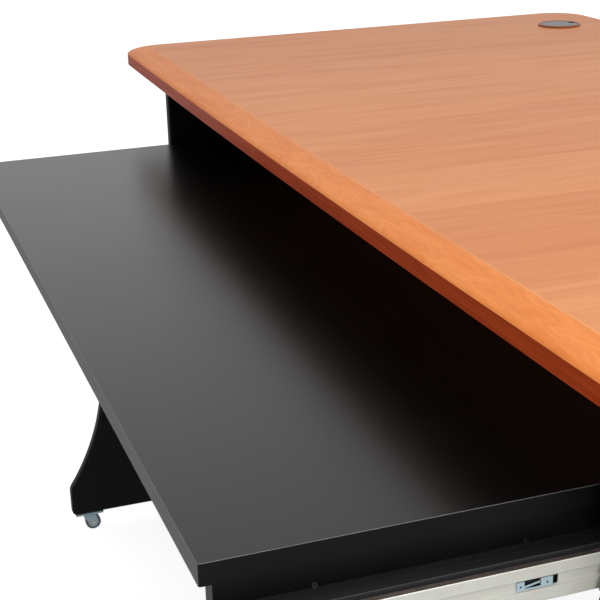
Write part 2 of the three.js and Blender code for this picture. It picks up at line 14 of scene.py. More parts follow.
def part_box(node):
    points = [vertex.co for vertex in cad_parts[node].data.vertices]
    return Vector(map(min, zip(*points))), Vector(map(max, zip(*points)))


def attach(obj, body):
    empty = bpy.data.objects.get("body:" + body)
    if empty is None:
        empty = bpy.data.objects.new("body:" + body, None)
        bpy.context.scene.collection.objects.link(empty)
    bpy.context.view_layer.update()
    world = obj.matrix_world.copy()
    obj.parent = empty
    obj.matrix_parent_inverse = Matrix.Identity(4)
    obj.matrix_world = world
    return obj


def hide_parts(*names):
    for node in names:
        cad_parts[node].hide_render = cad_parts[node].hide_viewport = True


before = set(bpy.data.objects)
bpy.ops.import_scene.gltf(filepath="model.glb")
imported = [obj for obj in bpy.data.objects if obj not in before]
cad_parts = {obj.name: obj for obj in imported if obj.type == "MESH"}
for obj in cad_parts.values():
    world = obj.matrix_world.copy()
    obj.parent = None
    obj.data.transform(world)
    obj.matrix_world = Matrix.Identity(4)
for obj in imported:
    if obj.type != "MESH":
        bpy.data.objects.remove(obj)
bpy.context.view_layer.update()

LOG = logging.getLogger("studio_desk")
MM = 0.001
SIDES = ("left", "right")
SIGNS = {"left": -1.0, "right": 1.0}
CASTER_PLACES = ("front_left", "front_right", "rear_left", "rear_right")

LACQUER_IOR = 1.5
# Most values of a noise lie in this range.
NOISE_WINDOW = (0.3, 0.7)
QUARTER_TURN = math.pi / 2
MERGE_M = 1e-7
SAME_LEVEL_M = 1e-6
CUTTER_OVERRUN_M = 0.01
FLAT_WITHIN = math.radians(0.5)
SMOOTH_BELOW = math.radians(40.0)
# A face looks along an axis from this share of its normal on, and an arris has a share between these two.
FACING = 0.5
ARRIS_TILT = (0.3, 0.9)

Pair = tuple[float, float]
Place = tuple[float, float, float]


class Axis(Enum):
    """The three directions that a section is run along or a grain follows."""

    X = 0
    Y = 1
    Z = 2


# Colours and node trees


def linear(code: str) -> tuple[float, float, float, float]:
    """Turn an sRGB hex colour into linear red, green, blue and alpha.

    Args:
        code: The colour, such as "#d9a07c".

    Returns:
        The four linear values that a shader's colour socket takes.
    """
    values = []
    for start in (1, 3, 5):
        share = int(code[start:start + 2], 16) / 255
        low = share / 12.92
        high = ((share + 0.055) / 1.055) ** 2.4
        values.append(low if share <= 0.04045 else high)
    return (*values, 1.0)


def add_node(
    tree: bpy.types.NodeTree,
    kind: str,
    settings: dict[str, object] | None = None,
    inputs: dict[str | int, object] | None = None,
) -> bpy.types.Node:
    """Add one node with its settings, values and links.

    Args:
        tree: The tree that takes the node.
        kind: The node's type name.
        settings: The node's own properties.
        inputs: A value or an output socket for each input, by name or number.

    Returns:
        The new node.
    """
    node = tree.nodes.new(kind)
    for name, value in (settings or {}).items():
        setattr(node, name, value)
    for key, value in (inputs or {}).items():
        socket = node.inputs[key]
        if isinstance(value, bpy.types.NodeSocket):
            tree.links.new(value, socket)
        else:
            socket.default_value = value
    return node


def new_material(
    name: str, specular: float | None = None
) -> tuple[bpy.types.Material, bpy.types.NodeTree, bpy.types.Node]:
    """Make an empty material with a Principled shader on its output.

    Args:
        name: The material's name.
        specular: The specular level of a film or lacquer, or None for the shader's own.

    Returns:
        The material, its node tree and the shader.
    """
    material = bpy.data.materials.new(name)
    material.use_nodes = True
    tree = material.node_tree
    tree.nodes.clear()
    inputs = {} if specular is None else {"Specular IOR Level": specular, "IOR": LACQUER_IOR}
    shader = add_node(tree, "ShaderNodeBsdfPrincipled", inputs=inputs)
    add_node(tree, "ShaderNodeOutputMaterial", inputs={"Surface": shader.outputs["BSDF"]})
    return material, tree, shader


def pattern_space(tree: bpy.types.NodeTree, sizes_mm: Place) -> bpy.types.NodeSocket:
    """Object coordinates in which one unit is the given size along each axis.

    Args:
        tree: The material's tree.
        sizes_mm: The size of the pattern's features along X, Y and Z.

    Returns:
        The scaled coordinates.
    """
    place = add_node(tree, "ShaderNodeTexCoord")
    scale = tuple(1.0 / (size * MM) for size in sizes_mm)
    inputs = {"Vector": place.outputs["Object"], "Scale": scale}
    return add_node(tree, "ShaderNodeMapping", inputs=inputs).outputs["Vector"]


def noise_at(
    tree: bpy.types.NodeTree, place: bpy.types.NodeSocket, detail: float, roughness: float
) -> bpy.types.NodeSocket:
    """A noise pattern of one feature for each unit of the given coordinates.

    Args:
        tree: The material's tree.
        place: The coordinates.
        detail: How many finer layers are added.
        roughness: How strong the finer layers are.

    Returns:
        The pattern's value.
    """
    inputs = {"Vector": place, "Scale": 1.0, "Detail": detail, "Roughness": roughness}
    return add_node(tree, "ShaderNodeTexNoise", inputs=inputs).outputs["Fac"]


def noise(
    tree: bpy.types.NodeTree, sizes_mm: Place, detail: float, roughness: float
) -> bpy.types.NodeSocket:
    """A noise pattern whose features have real sizes.

    Args:
        tree: The material's tree.
        sizes_mm: The size of the features along X, Y and Z.
        detail: How many finer layers are added.
        roughness: How strong the finer layers are.

    Returns:
        The pattern's value.
    """
    return noise_at(tree, pattern_space(tree, sizes_mm), detail, roughness)


def calculate(tree: bpy.types.NodeTree, operation: str, *values: object) -> bpy.types.NodeSocket:
    """One step of arithmetic in a tree.

    Args:
        tree: The tree.
        operation: The step, such as "MAXIMUM".
        values: Numbers or output sockets.

    Returns:
        The result.
    """
    node = add_node(tree, "ShaderNodeMath", {"operation": operation}, dict(enumerate(values)))
    return node.outputs[0]


def spread(
    tree: bpy.types.NodeTree, value: bpy.types.NodeSocket, source: Pair, target: Pair
) -> bpy.types.NodeSocket:
    """Stretch a value from one range onto another and clamp it there.

    Args:
        tree: The tree.
        value: The value to stretch.
        source: The range that the value is read in.
        target: The range that comes out.

    Returns:
        The stretched value.
    """
    node = add_node(
        tree,
        "ShaderNodeMapRange",
        inputs={
            "Value": value, "From Min": source[0], "From Max": source[1],
            "To Min": target[0], "To Max": target[1],
        },
    )
    return node.outputs["Result"]


def blend_colours(
    tree: bpy.types.NodeTree, factor: bpy.types.NodeSocket, first: object, second: object
) -> bpy.types.NodeSocket:
    """Mix two colours by a factor.

    Args:
        tree: The tree.
        factor: The share of the second colour.
        first: A colour or an output socket.
        second: A colour or an output socket.

    Returns:
        The mixed colour.
    """
    node = add_node(tree, "ShaderNodeMix", {"data_type": "RGBA"}, {0: factor, 6: first, 7: second})
    return node.outputs[2]


def streaks(along: Axis, across_mm: float, length_mm: float) -> Place:
    """The sizes of long thin features that lie along an axis."""
    sizes = [across_mm] * 3
    sizes[along.value] = length_mm
    return tuple(sizes)


def link_tone(
    tree: bpy.types.NodeTree,
    shader: bpy.types.Node,
    pattern: bpy.types.NodeSocket,
    window: Pair,
    first: str,
    second: str,
) -> None:
    """Let a pattern lead the shader's colour from one tone to another.

    Args:
        tree: The material's tree.
        shader: Its shader.
        pattern: The pattern.
        window: The range of the pattern over which the tone changes.
        first: The hex colour below the window.
        second: The hex colour above it.
    """
    share = spread(tree, pattern, window, (0.0, 1.0))
    tone = blend_colours(tree, share, linear(first), linear(second))
    tree.links.new(tone, shader.inputs["Base Color"])


def link_roughness(
    tree: bpy.types.NodeTree,
    shader: bpy.types.Node,
    pattern: bpy.types.NodeSocket,
    window: Pair,
    middle_value: float,
    change: Pair,
) -> None:
    """Let a pattern change the shader's roughness a little.

    Args:
        tree: The material's tree.
        shader: Its shader.
        pattern: The pattern.
        window: The range of the pattern over which the roughness changes.
        middle_value: The finish's own roughness.
        change: What is added to it at the window's two ends.
    """
    target = (middle_value + change[0], middle_value + change[1])
    tree.links.new(spread(tree, pattern, window, target), shader.inputs["Roughness"])


def link_bump(
    tree: bpy.types.NodeTree,
    shader: bpy.types.Node,
    height: bpy.types.NodeSocket,
    strength: float,
    depth_mm: float,
) -> None:
    """Let a height pattern bend the shader's normal.

    Args:
        tree: The material's tree.
        shader: Its shader.
        height: The pattern.
        strength: How much of it shows.
        depth_mm: The depth from its lowest to its highest.
    """
    inputs = {"Strength": strength, "Distance": depth_mm * MM, "Height": height}
    bent = add_node(tree, "ShaderNodeBump", inputs=inputs)
    tree.links.new(bent.outputs["Normal"], shader.inputs["Normal"])


# Finishes


@dataclass(frozen=True, kw_only=True)
class CherryGrain:
    """Cherry wood or a cherry print: planks side by side, each with its own tone and growth rings."""

    name: str
    pale: str
    middle: str
    deep: str
    fleck: str
    along: Axis
    across: Axis
    plank_mm: float
    figure_mm: float
    stretch: float
    rings: float
    ring_share: float
    line_mm: float
    line_share: float
    fleck_share: float
    roughness: float
    specular: float
    relief_mm: float
    line_stretch: float = 5.0
    fleck_stretch: float = 14.0
    fleck_width_share: float = 0.5
    plank_wander: float = 0.9
    plank_tone_share: float = 0.5
    plank_shift: Place = (37.0, 53.0, 71.0)
    tone_window: Pair = (0.45, 1.05)
    ring_window: Pair = (-0.4, 1.0)
    line_window: Pair = (0.48, 0.75)
    fleck_window: Pair = (0.62, 0.75)
    sheen_spread: Pair = (-0.04, 0.05)
    relief_strength: float = 0.35

    def sizes(self, across_mm: float, stretch: float) -> Place:
        """Feature sizes with the long side along the grain."""
        return streaks(self.along, across_mm, across_mm * stretch)

    def planks(self, tree: bpy.types.NodeTree) -> bpy.types.NodeSocket:
        """Three random values for each plank, in one colour."""
        place = add_node(tree, "ShaderNodeTexCoord")
        parts = add_node(tree, "ShaderNodeSeparateXYZ", inputs={0: place.outputs["Object"]})
        inputs = {
            "W": parts.outputs[self.across.value],
            "Scale": 1.0 / (self.plank_mm * MM),
            "Randomness": self.plank_wander,
        }
        return add_node(tree, "ShaderNodeTexVoronoi", {"voronoi_dimensions": "1D"}, inputs).outputs["Color"]

    def shifted_noise(
        self, tree: bpy.types.NodeTree, planks: bpy.types.NodeSocket, sizes: Place, detail: float
    ) -> bpy.types.NodeSocket:
        """A noise that starts afresh in each plank.

        Args:
            tree: The material's tree.
            planks: The random values of the planks.
            sizes: The size of its features in millimetres.
            detail: How many finer layers are added.

        Returns:
            The pattern's value.
        """
        place = add_node(
            tree, "ShaderNodeVectorMath", {"operation": "MULTIPLY_ADD"},
            {0: planks, 1: self.plank_shift, 2: pattern_space(tree, sizes)},
        )
        return noise_at(tree, place.outputs["Vector"], detail, roughness=0.5)

    def make(self) -> bpy.types.Material:
        """Build the material."""
        material, tree, shader = new_material(self.name, self.specular)
        planks = self.planks(tree)
        tone = add_node(tree, "ShaderNodeSeparateXYZ", inputs={0: planks}).outputs["X"]
        figure = self.shifted_noise(tree, planks, self.sizes(self.figure_mm, self.stretch), detail=1.0)
        line_sizes = self.sizes(self.line_mm, self.stretch * self.line_stretch)
        lines = self.shifted_noise(tree, planks, line_sizes, detail=3.0)
        fleck_sizes = self.sizes(self.line_mm * self.fleck_width_share, self.fleck_stretch)
        flecks = noise(tree, fleck_sizes, detail=1.0, roughness=0.5)
        shade = calculate(tree, "MULTIPLY_ADD", tone, self.plank_tone_share, figure)
        wave = calculate(tree, "SINE", calculate(tree, "MULTIPLY", figure, 2 * math.pi * self.rings))
        layers = (
            (shade, self.tone_window, 1.0, self.middle),
            (wave, self.ring_window, self.ring_share, self.deep),
            (lines, self.line_window, self.line_share, self.deep),
            (flecks, self.fleck_window, self.fleck_share, self.fleck),
        )
        colour = linear(self.pale)
        for pattern, window, share, code in layers:
            colour = blend_colours(tree, spread(tree, pattern, window, (0.0, share)), colour, linear(code))
        tree.links.new(colour, shader.inputs["Base Color"])
        link_roughness(tree, shader, lines, NOISE_WINDOW, self.roughness, self.sheen_spread)
        link_bump(tree, shader, flecks, self.relief_strength, -self.relief_mm)
        return material


@dataclass(frozen=True, kw_only=True)
class SatinMelamine:
    """Black melamine: a fine pebbled print plate leaves a satin film that greys at a low angle."""

    name: str
    colour: str
    lighter: str
    roughness: float
    specular: float
    pebble_mm: float
    relief_mm: float
    cloud_mm: float = 90.0
    tone_window: Pair = (0.35, 0.7)
    sheen_window: Pair = (0.3, 0.75)
    sheen_spread: Pair = (-0.005, 0.01)
    relief_strength: float = 0.25

    def make(self) -> bpy.types.Material:
        """Build the material."""
        material, tree, shader = new_material(self.name, self.specular)
        cloud = noise(tree, (self.cloud_mm,) * 3, detail=3.0, roughness=0.55)
        pebble = noise(tree, (self.pebble_mm,) * 3, detail=2.0, roughness=0.6)
        link_tone(tree, shader, cloud, self.tone_window, self.colour, self.lighter)
        link_roughness(tree, shader, cloud, self.sheen_window, self.roughness, self.sheen_spread)
        link_bump(tree, shader, pebble, self.relief_strength, self.relief_mm)
        return material


@dataclass(frozen=True, kw_only=True)
class PaintedTimber:
    """Softwood painted matt black: the grain stands through the paint a little."""

    name: str
    colour: str
    along: Axis
    lighter: str = "#1a191b"
    grain_mm: float = 2.2
    grain_length_mm: float = 120.0
    roughness: float = 0.5
    tone_window: Pair = (0.0, 1.0)
    sheen_spread: Pair = (0.0, 0.18)
    relief_strength: float = 0.4
    relief_mm: float = 0.12

    def make(self) -> bpy.types.Material:
        """Build the material."""
        material, tree, shader = new_material(self.name)
        sizes = streaks(self.along, self.grain_mm, self.grain_length_mm)
        grain = noise(tree, sizes, detail=4.0, roughness=0.6)
        link_tone(tree, shader, grain, self.tone_window, self.colour, self.lighter)
        link_roughness(tree, shader, grain, NOISE_WINDOW, self.roughness, self.sheen_spread)
        link_bump(tree, shader, grain, self.relief_strength, self.relief_mm)
        return material


@dataclass(frozen=True, kw_only=True)
class ZincPlate:
    """Rolled steel strip with zinc plating: fine lines along the roll and a cloudy passivated film."""

    name: str
    colour: str
    tint: str
    roughness: float
    metallic: float
    along: Axis = Axis.Y
    line_mm: float = 0.5
    line_length_mm: float = 60.0
    cloud_mm: Place = (14.0, 22.0, 9.0)
    tone_window: Pair = (0.35, 0.68)
    sheen_spread: Pair = (-0.06, 0.08)
    relief_strength: float = 0.18
    relief_mm: float = 0.03

    def make(self) -> bpy.types.Material:
        """Build the material."""
        material, tree, shader = new_material(self.name)
        sizes = streaks(self.along, self.line_mm, self.line_length_mm)
        lines = noise(tree, sizes, detail=3.0, roughness=0.6)
        cloud = noise(tree, self.cloud_mm, detail=3.0, roughness=0.6)
        link_tone(tree, shader, cloud, self.tone_window, self.colour, self.tint)
        link_roughness(tree, shader, lines, NOISE_WINDOW, self.roughness, self.sheen_spread)
        link_bump(tree, shader, lines, self.relief_strength, self.relief_mm)
        shader.inputs["Metallic"].default_value = self.metallic
        return material


@dataclass(frozen=True, kw_only=True)
class MouldedPlastic:
    """Injection moulded plastic or rubber: an even colour with a spark-eroded grain."""

    name: str
    colour: str
    lighter: str
    roughness: float
    ior: float
    grain_mm: float = 0.4
    relief_mm: float = 0.02
    cloud_mm: float = 11.0
    tone_window: Pair = (0.35, 0.65)
    sheen_spread: Pair = (-0.04, 0.06)
    relief_strength: float = 0.3

    def make(self) -> bpy.types.Material:
        """Build the material."""
        material, tree, shader = new_material(self.name)
        grain = noise(tree, (self.grain_mm,) * 3, detail=2.0, roughness=0.5)
        cloud = noise(tree, (self.cloud_mm,) * 3, detail=2.0, roughness=0.5)
        link_tone(tree, shader, cloud, self.tone_window, self.colour, self.lighter)
        link_roughness(tree, shader, grain, NOISE_WINDOW, self.roughness, self.sheen_spread)
        link_bump(tree, shader, grain, self.relief_strength, self.relief_mm)
        shader.inputs["IOR"].default_value = self.ior
        return material


class Finishes:
    """Every material of the desk, made once and shared by its pieces."""

    def __init__(self) -> None:
        """Make the materials."""
        self.make_cherry()
        self.make_blacks()
        self.make_steels()
        self.make_plastics()

    def make_cherry(self) -> None:
        """The laminate, the solid wood and the edge band."""
        # Printed cherry laminate: planks from front to back under a satin film, soft rings and fine lines.
        self.laminate = CherryGrain(
            name="cherry_laminate", pale="#ee9d65", middle="#e18c56", deep="#ce784a", fleck="#b2603a",
            along=Axis.Y, across=Axis.X, plank_mm=120.0, figure_mm=30.0, stretch=10.0,
            rings=3.5, ring_share=0.15, line_mm=2.6, line_share=0.34, fleck_share=0.2,
            roughness=0.4, specular=0.12, relief_mm=0.02,
        ).make()
        # Solid cherry under lacquer: more orange than the print, with long oval rings.
        solid = CherryGrain(
            name="solid_cherry", pale="#f89852", middle="#e9823b", deep="#d36f2b", fleck="#b3551d",
            along=Axis.X, across=Axis.Z, plank_mm=620.0, figure_mm=22.0, stretch=4.0,
            rings=8.0, ring_share=0.2, line_mm=1.2, line_share=0.26, fleck_share=0.2,
            roughness=0.42, specular=0.1, relief_mm=0.03,
        )
        self.cherry = solid.make()
        # Painted shade: a darker, redder copy of the cherry for the lipping's faces that turn away from the
        # top, standing in for the shade there.
        self.cherry_painted_shade = replace(
            solid, name="stained_cherry_edge",
            pale="#df5a29", middle="#d04c1f", deep="#ae3b15", fleck="#86290d",
            figure_mm=7.0, stretch=24.0, rings=4.0, ring_share=0.3, line_mm=1.3, line_share=0.7,
            fleck_share=0.3, roughness=0.5, specular=0.09,
        ).make()
        # Painted highlight: a pale strip of cherry between the laminate and the lipping stands in for the
        # light caught at the joint.
        self.joint_painted_highlight = replace(
            solid, name="pale_joint_line",
            pale="#ffb677", middle="#f9aa69", deep="#ea985a", fleck="#d3854a",
            figure_mm=9.0, stretch=16.0, rings=2.0, line_share=0.3,
            roughness=0.4, specular=0.06, relief_mm=0.02,
        ).make()
        # Plastic edge banding in the laminate's colour on the ends and the rear.
        self.cherry_band = CherryGrain(
            name="cherry_edge_band", pale="#e2995f", middle="#d38750", deep="#c0733f", fleck="#a35c32",
            along=Axis.Y, across=Axis.Z, plank_mm=40.0, figure_mm=8.0, stretch=20.0,
            rings=2.0, ring_share=0.2, line_mm=1.6, line_share=0.3, fleck_share=0.2,
            roughness=0.45, specular=0.2, relief_mm=0.02,
        ).make()

    def make_blacks(self) -> None:
        """The black boards, their edges and the painted timber."""
        # Black melamine faced board: satin, so the shelf shows a soft grey veil at a low angle.
        self.melamine = SatinMelamine(
            name="black_melamine", colour="#060506", lighter="#080708",
            roughness=0.28, specular=0.4, pebble_mm=0.7, relief_mm=0.012,
        ).make()
        # The upright panels have a duller print than the shelf that hands slide over.
        self.matt_melamine = SatinMelamine(
            name="matt_black_melamine", colour="#0a0a0b", lighter="#0e0e0f",
            roughness=0.5, specular=0.07, pebble_mm=0.9, relief_mm=0.05,
        ).make()
        # The same board's edge banding is a smoother plastic strip, grey on the shelf's front.
        band = SatinMelamine(
            name="black_edge_band", colour="#0d0d0e", lighter="#111112",
            roughness=0.55, specular=0.08, pebble_mm=1.4, relief_mm=0.03,
        )
        self.band = band.make()
        self.shelf_band = replace(
            band, name="shelf_front_band", colour="#606063", lighter="#6a6a6d", specular=0.1
        ).make()
        # Painted highlights: a pale grey on the shelf's top arris and a darker grey on the battens' outer
        # top arris stand in for the light those edges catch.
        shelf_arris_highlight = SatinMelamine(
            name="rubbed_arris", colour="#7d7d7f", lighter="#909092",
            roughness=0.4, specular=0.5, pebble_mm=3.0, relief_mm=0.02,
        )
        self.shelf_arris_highlight = shelf_arris_highlight.make()
        self.dull_arris = replace(
            shelf_arris_highlight, name="dull_arris", colour="#2c2c2e", lighter="#39393b", roughness=0.5, specular=0.4
        ).make()
        # Planed battens and cleats in matt black paint, which the grain lifts.
        self.timber = PaintedTimber(name="black_timber", colour="#0e0d0f", along=Axis.Y).make()
        self.cross_timber = PaintedTimber(name="black_cross_timber", colour="#131214", along=Axis.X).make()

    def make_steels(self) -> None:
        """The slides', the casters' and the screws' finishes."""
        # Bright zinc on the slides leans warm, blue passivated zinc on small pressings leans cold.
        zinc = ZincPlate(name="bright_zinc", colour="#c6cac0", tint="#c5c0b8", roughness=0.42, metallic=0.1)
        self.zinc = zinc.make()
        self.blue_zinc = ZincPlate(
            name="blue_zinc", colour="#a9bdc6", tint="#9bb1bb", roughness=0.4, metallic=0.15
        ).make()
        # Painted reflection and highlight: a dark brownish zinc on the slide's top stands in for the dark
        # board it mirrors, and a pale zinc on its bend for the light it catches.
        self.slide_top_reflection = replace(
            zinc, name="greased_zinc", colour="#5e5450", tint="#463e3b", roughness=0.45
        ).make()
        self.slide_bend_highlight = replace(
            zinc, name="burnished_zinc", colour="#ecebe6", tint="#e2e0da", roughness=0.3
        ).make()
        # Hardened and ground balls mirror what is round them; the screws are blackened in oil.
        self.bearing = ZincPlate(
            name="bearing_steel", colour="#b4b6b8", tint="#a4a6a9",
            roughness=0.24, metallic=0.9, along=Axis.Z,
        ).make()
        self.screw = ZincPlate(
            name="black_oxide_screw", colour="#1d1d20", tint="#131315",
            roughness=0.4, metallic=0.6, along=Axis.Z,
        ).make()

    def make_plastics(self) -> None:
        """The casters' wheels and the cable grommets."""
        # Grey rubber tyre, ochre-brown liner and slate cap: moulded parts with a fine spark grain.
        self.tyre = MouldedPlastic(
            name="grey_rubber", colour="#5a6366", lighter="#646d71",
            roughness=0.6, ior=1.45, grain_mm=0.5, relief_mm=0.03,
        ).make()
        self.wheel_centre = MouldedPlastic(
            name="wheel_centre", colour="#b4c0c6", lighter="#c0cbd0", roughness=0.45, ior=1.49, grain_mm=0.5
        ).make()
        self.brown_plastic = MouldedPlastic(
            name="brown_plastic", colour="#7d3f22", lighter="#8d4c2b", roughness=0.4, ior=1.49
        ).make()
        self.grey_plastic = MouldedPlastic(
            name="grey_plastic", colour="#616163", lighter="#6c6c6e", roughness=0.4, ior=1.49
        ).make()


# Outlines


def arc(centre: Pair, radius: float, start: float, end: float, steps: int) -> list[Pair]:
    """Points along an arc.

    Args:
        centre: The arc's centre.
        radius: Its radius.
        start: The first angle in radians.
        end: The last angle in radians.
        steps: How many straight pieces it has.

    Returns:
        The points, ends included.
    """
    across, up = centre
    angles = [start + (end - start) * step / steps for step in range(steps + 1)]
    return [(across + radius * math.cos(angle), up + radius * math.sin(angle)) for angle in angles]


def filleted(
    points: Sequence[Pair], radius: float, steps: int = 4, most_of_side: float = 0.48
) -> list[Pair]:
    """Round every corner of a closed outline.

    Args:
        points: The outline's corners.
        radius: The radius that a corner takes where its sides are long enough.
        steps: How many straight pieces each corner has.
        most_of_side: The share of a side that one corner may take.

    Returns:
        The rounded outline.
    """
    rounded: list[Pair] = []
    count = len(points)
    for index, corner in enumerate(points):
        here = Vector(corner)
        before = Vector(points[index - 1]) - here
        after = Vector(points[(index + 1) % count]) - here
        half = before.angle(after) / 2
        room = most_of_side * min(before.length, after.length)
        reach = min(radius / math.tan(half), room)
        first = here + before.normalized() * reach
        last = here + after.normalized() * reach
        for step in range(steps + 1):
            share = step / steps
            near = first.lerp(here, share)
            far = here.lerp(last, share)
            rounded.append(tuple(near.lerp(far, share)))
    return rounded


def rounded_rectangle(low: Pair, high: Pair, radius: float, steps: int = 8) -> list[Pair]:
    """A rectangle with one radius at its corners."""
    left, right = low[0] + radius, high[0] - radius
    front, rear = low[1] + radius, high[1] - radius
    points: list[Pair] = []
    for turn, centre in enumerate(((right, front), (right, rear), (left, rear), (left, front))):
        points += arc(centre, radius, (turn - 1) * QUARTER_TURN, turn * QUARTER_TURN, steps)
    return points


# Meshes


def stand(point: Pair, height: float, axis: Axis) -> Vector:
    """Place a point of a section in space, at a height along the axis that the section is run."""
    if axis is Axis.X:
        return Vector((height, point[0], point[1]))
    if axis is Axis.Y:
        return Vector((point[0], height, point[1]))
    return Vector((point[0], point[1], height))


def prism(points: Sequence[Pair], axis: Axis, low: float, high: float) -> bmesh.types.BMesh:
    """Run a closed outline along an axis.

    Args:
        points: The outline in the other two axes, in their order.
        axis: The axis that it is run along.
        low: Where it starts.
        high: Where it ends.

    Returns:
        A closed mesh.
    """
    mesh = bmesh.new()
    bottom = [mesh.verts.new(stand(point, low, axis)) for point in points]
    top = [mesh.verts.new(stand(point, high, axis)) for point in points]
    mesh.faces.new(bottom)
    mesh.faces.new(top)
    count = len(points)
    for index in range(count):
        after = (index + 1) % count
        mesh.faces.new((bottom[index], bottom[after], top[after], top[index]))
    bmesh.ops.remove_doubles(mesh, verts=mesh.verts, dist=MERGE_M)
    bmesh.ops.recalc_face_normals(mesh, faces=mesh.faces)
    return mesh


def turned(section: Sequence[Pair], axis: Axis, centre: Vector, sides: int) -> bmesh.types.BMesh:
    """Turn a closed section about an axis.

    Args:
        section: Pairs of radius and distance along the axis.
        axis: The axis that it turns about.
        centre: The point of the axis where the distance is nought.
        sides: How many pieces the turn has.

    Returns:
        A closed mesh.
    """
    mesh = bmesh.new()
    order = {Axis.X: (1, 2, 0), Axis.Y: (2, 0, 1), Axis.Z: (0, 1, 2)}[axis]
    rings = []
    for side in range(sides):
        angle = 2 * math.pi * side / sides
        ring = []
        for radius, along in section:
            values = [0.0, 0.0, 0.0]
            values[order[0]] = radius * math.cos(angle)
            values[order[1]] = radius * math.sin(angle)
            values[order[2]] = along
            ring.append(mesh.verts.new(centre + Vector(values)))
        rings.append(ring)
    count = len(section)
    for side in range(sides):
        near, far = rings[side], rings[(side + 1) % sides]
        for index in range(count):
            after = (index + 1) % count
            mesh.faces.new((near[index], near[after], far[after], far[index]))
    bmesh.ops.remove_doubles(mesh, verts=mesh.verts, dist=MERGE_M)
    bmesh.ops.dissolve_degenerate(mesh, dist=MERGE_M / 10, edges=mesh.edges)
    bmesh.ops.recalc_face_normals(mesh, faces=mesh.faces)
    return mesh


def disc_section(
    radius: float, bottom: float, top: float, edge: float, dome: float, steps: int = 5
) -> list[Pair]:
    """The section of a round head or cap: flat below, rounded at its edge and domed on top."""
    points = [(0.0, bottom), (radius, bottom)]
    points += arc((radius - edge, top - dome - edge), edge, 0.0, QUARTER_TURN, steps)
    shares = [number / steps for number in reversed(range(steps))]
    points += [((radius - edge) * share, top - dome * share ** 2) for share in shares]
    return points


def as_object(name: str, mesh: bmesh.types.BMesh, *materials: bpy.types.Material) -> bpy.types.Object:
    """Turn a working mesh into an object at the origin.

    Args:
        name: The piece's name.
        mesh: The working mesh, which is freed.
        materials: The piece's materials.

    Returns:
        The object.
    """
    data = bpy.data.meshes.new(name)
    mesh.to_mesh(data)
    mesh.free()
    for material in materials:
        data.materials.append(material)
    piece = bpy.data.objects.new(name, data)
    bpy.context.scene.collection.objects.link(piece)
    return piece


def apply_modifiers(piece: bpy.types.Object) -> None:
    """Replace a piece's mesh by the result of its modifiers, and remove them."""
    graph = bpy.context.evaluated_depsgraph_get()
    graph.update()
    data = bpy.data.meshes.new_from_object(
        piece.evaluated_get(graph), preserve_all_data_layers=True, depsgraph=graph
    )
    piece.modifiers.clear()
    piece.data = data


def cut(piece: bpy.types.Object, cutters: Iterable[bmesh.types.BMesh]) -> None:
    """Take closed meshes out of a piece."""
    tools = []
    for number, cutter in enumerate(cutters):
        tool = as_object(f"{piece.name}_cutter_{number}", cutter)
        modifier = piece.modifiers.new("cut", "BOOLEAN")
        modifier.operation = "DIFFERENCE"
        modifier.solver = "EXACT"
        modifier.object = tool
        tools.append(tool)
    apply_modifiers(piece)
    for tool in tools:
        bpy.data.objects.remove(tool)


def soften(piece: bpy.types.Object, radius_mm: float, steps: int = 2, angle: float = 30.0) -> None:
    """Round a piece's sharp edges and shade it smooth across small angles.

    Args:
        piece: The piece.
        radius_mm: The radius at the edges; with 0 they stay as they are.
        steps: How many faces each rounded edge has.
        angle: The least angle in degrees at which an edge counts as sharp.
    """
    piece.data.shade_smooth()
    piece.data.set_sharp_from_angle(angle=SMOOTH_BELOW)
    if radius_mm > 0:
        bevel = piece.modifiers.new("edges", "BEVEL")
        bevel.limit_method = "ANGLE"
        bevel.angle_limit = math.radians(angle)
        bevel.width = radius_mm * MM
        bevel.segments = steps
        bevel.use_clamp_overlap = True
    weights = piece.modifiers.new("normals", "WEIGHTED_NORMAL")
    weights.keep_sharp = True
    apply_modifiers(piece)


def clean_copy(node: str) -> bmesh.types.BMesh:
    """A copy of a CAD node's mesh, merged and with its flat faces whole."""
    mesh = bmesh.new()
    mesh.from_mesh(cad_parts[node].data)
    bmesh.ops.remove_doubles(mesh, verts=mesh.verts, dist=SAME_LEVEL_M)
    bmesh.ops.dissolve_limit(mesh, angle_limit=FLAT_WITHIN, verts=mesh.verts, edges=mesh.edges)
    return mesh


def smooth_copy(
    name: str, node: str, radius_mm: float, *materials: bpy.types.Material, steps: int = 2
) -> bpy.types.Object:
    """A CAD node's own shape under a new name, with its edges rounded.

    Args:
        name: The piece's name.
        node: The CAD node.
        radius_mm: The radius at the edges.
        materials: The piece's materials.
        steps: How many faces each rounded edge has.

    Returns:
        The object.
    """
    piece = as_object(name, clean_copy(node), *materials)
    soften(piece, radius_mm, steps)
    return piece


def round_rims(
    mesh: bmesh.types.BMesh, axis: Axis, levels: Sequence[float], radius: float, steps: int
) -> None:
    """Round the rim of one or both ends of a prism.

    Args:
        mesh: The prism.
        axis: The axis that it is run along.
        levels: Where those ends lie.
        radius: The radius in metres.
        steps: How many faces each rounded edge has.
    """
    rims = [
        edge
        for edge in mesh.edges
        for level in levels
        if all(abs(end.co[axis.value] - level) < SAME_LEVEL_M for end in edge.verts)
    ]
    bmesh.ops.bevel(
        mesh, geom=rims, offset=radius, segments=steps, profile=0.5, affect="EDGES", clamp_overlap=True
    )


def paint_faces(piece: bpy.types.Object, slot: int, test: Callable[[bpy.types.MeshPolygon], bool]) -> None:
    """Give the faces that pass a test one of the piece's materials."""
    for face in piece.data.polygons:
        if test(face):
            face.material_index = slot


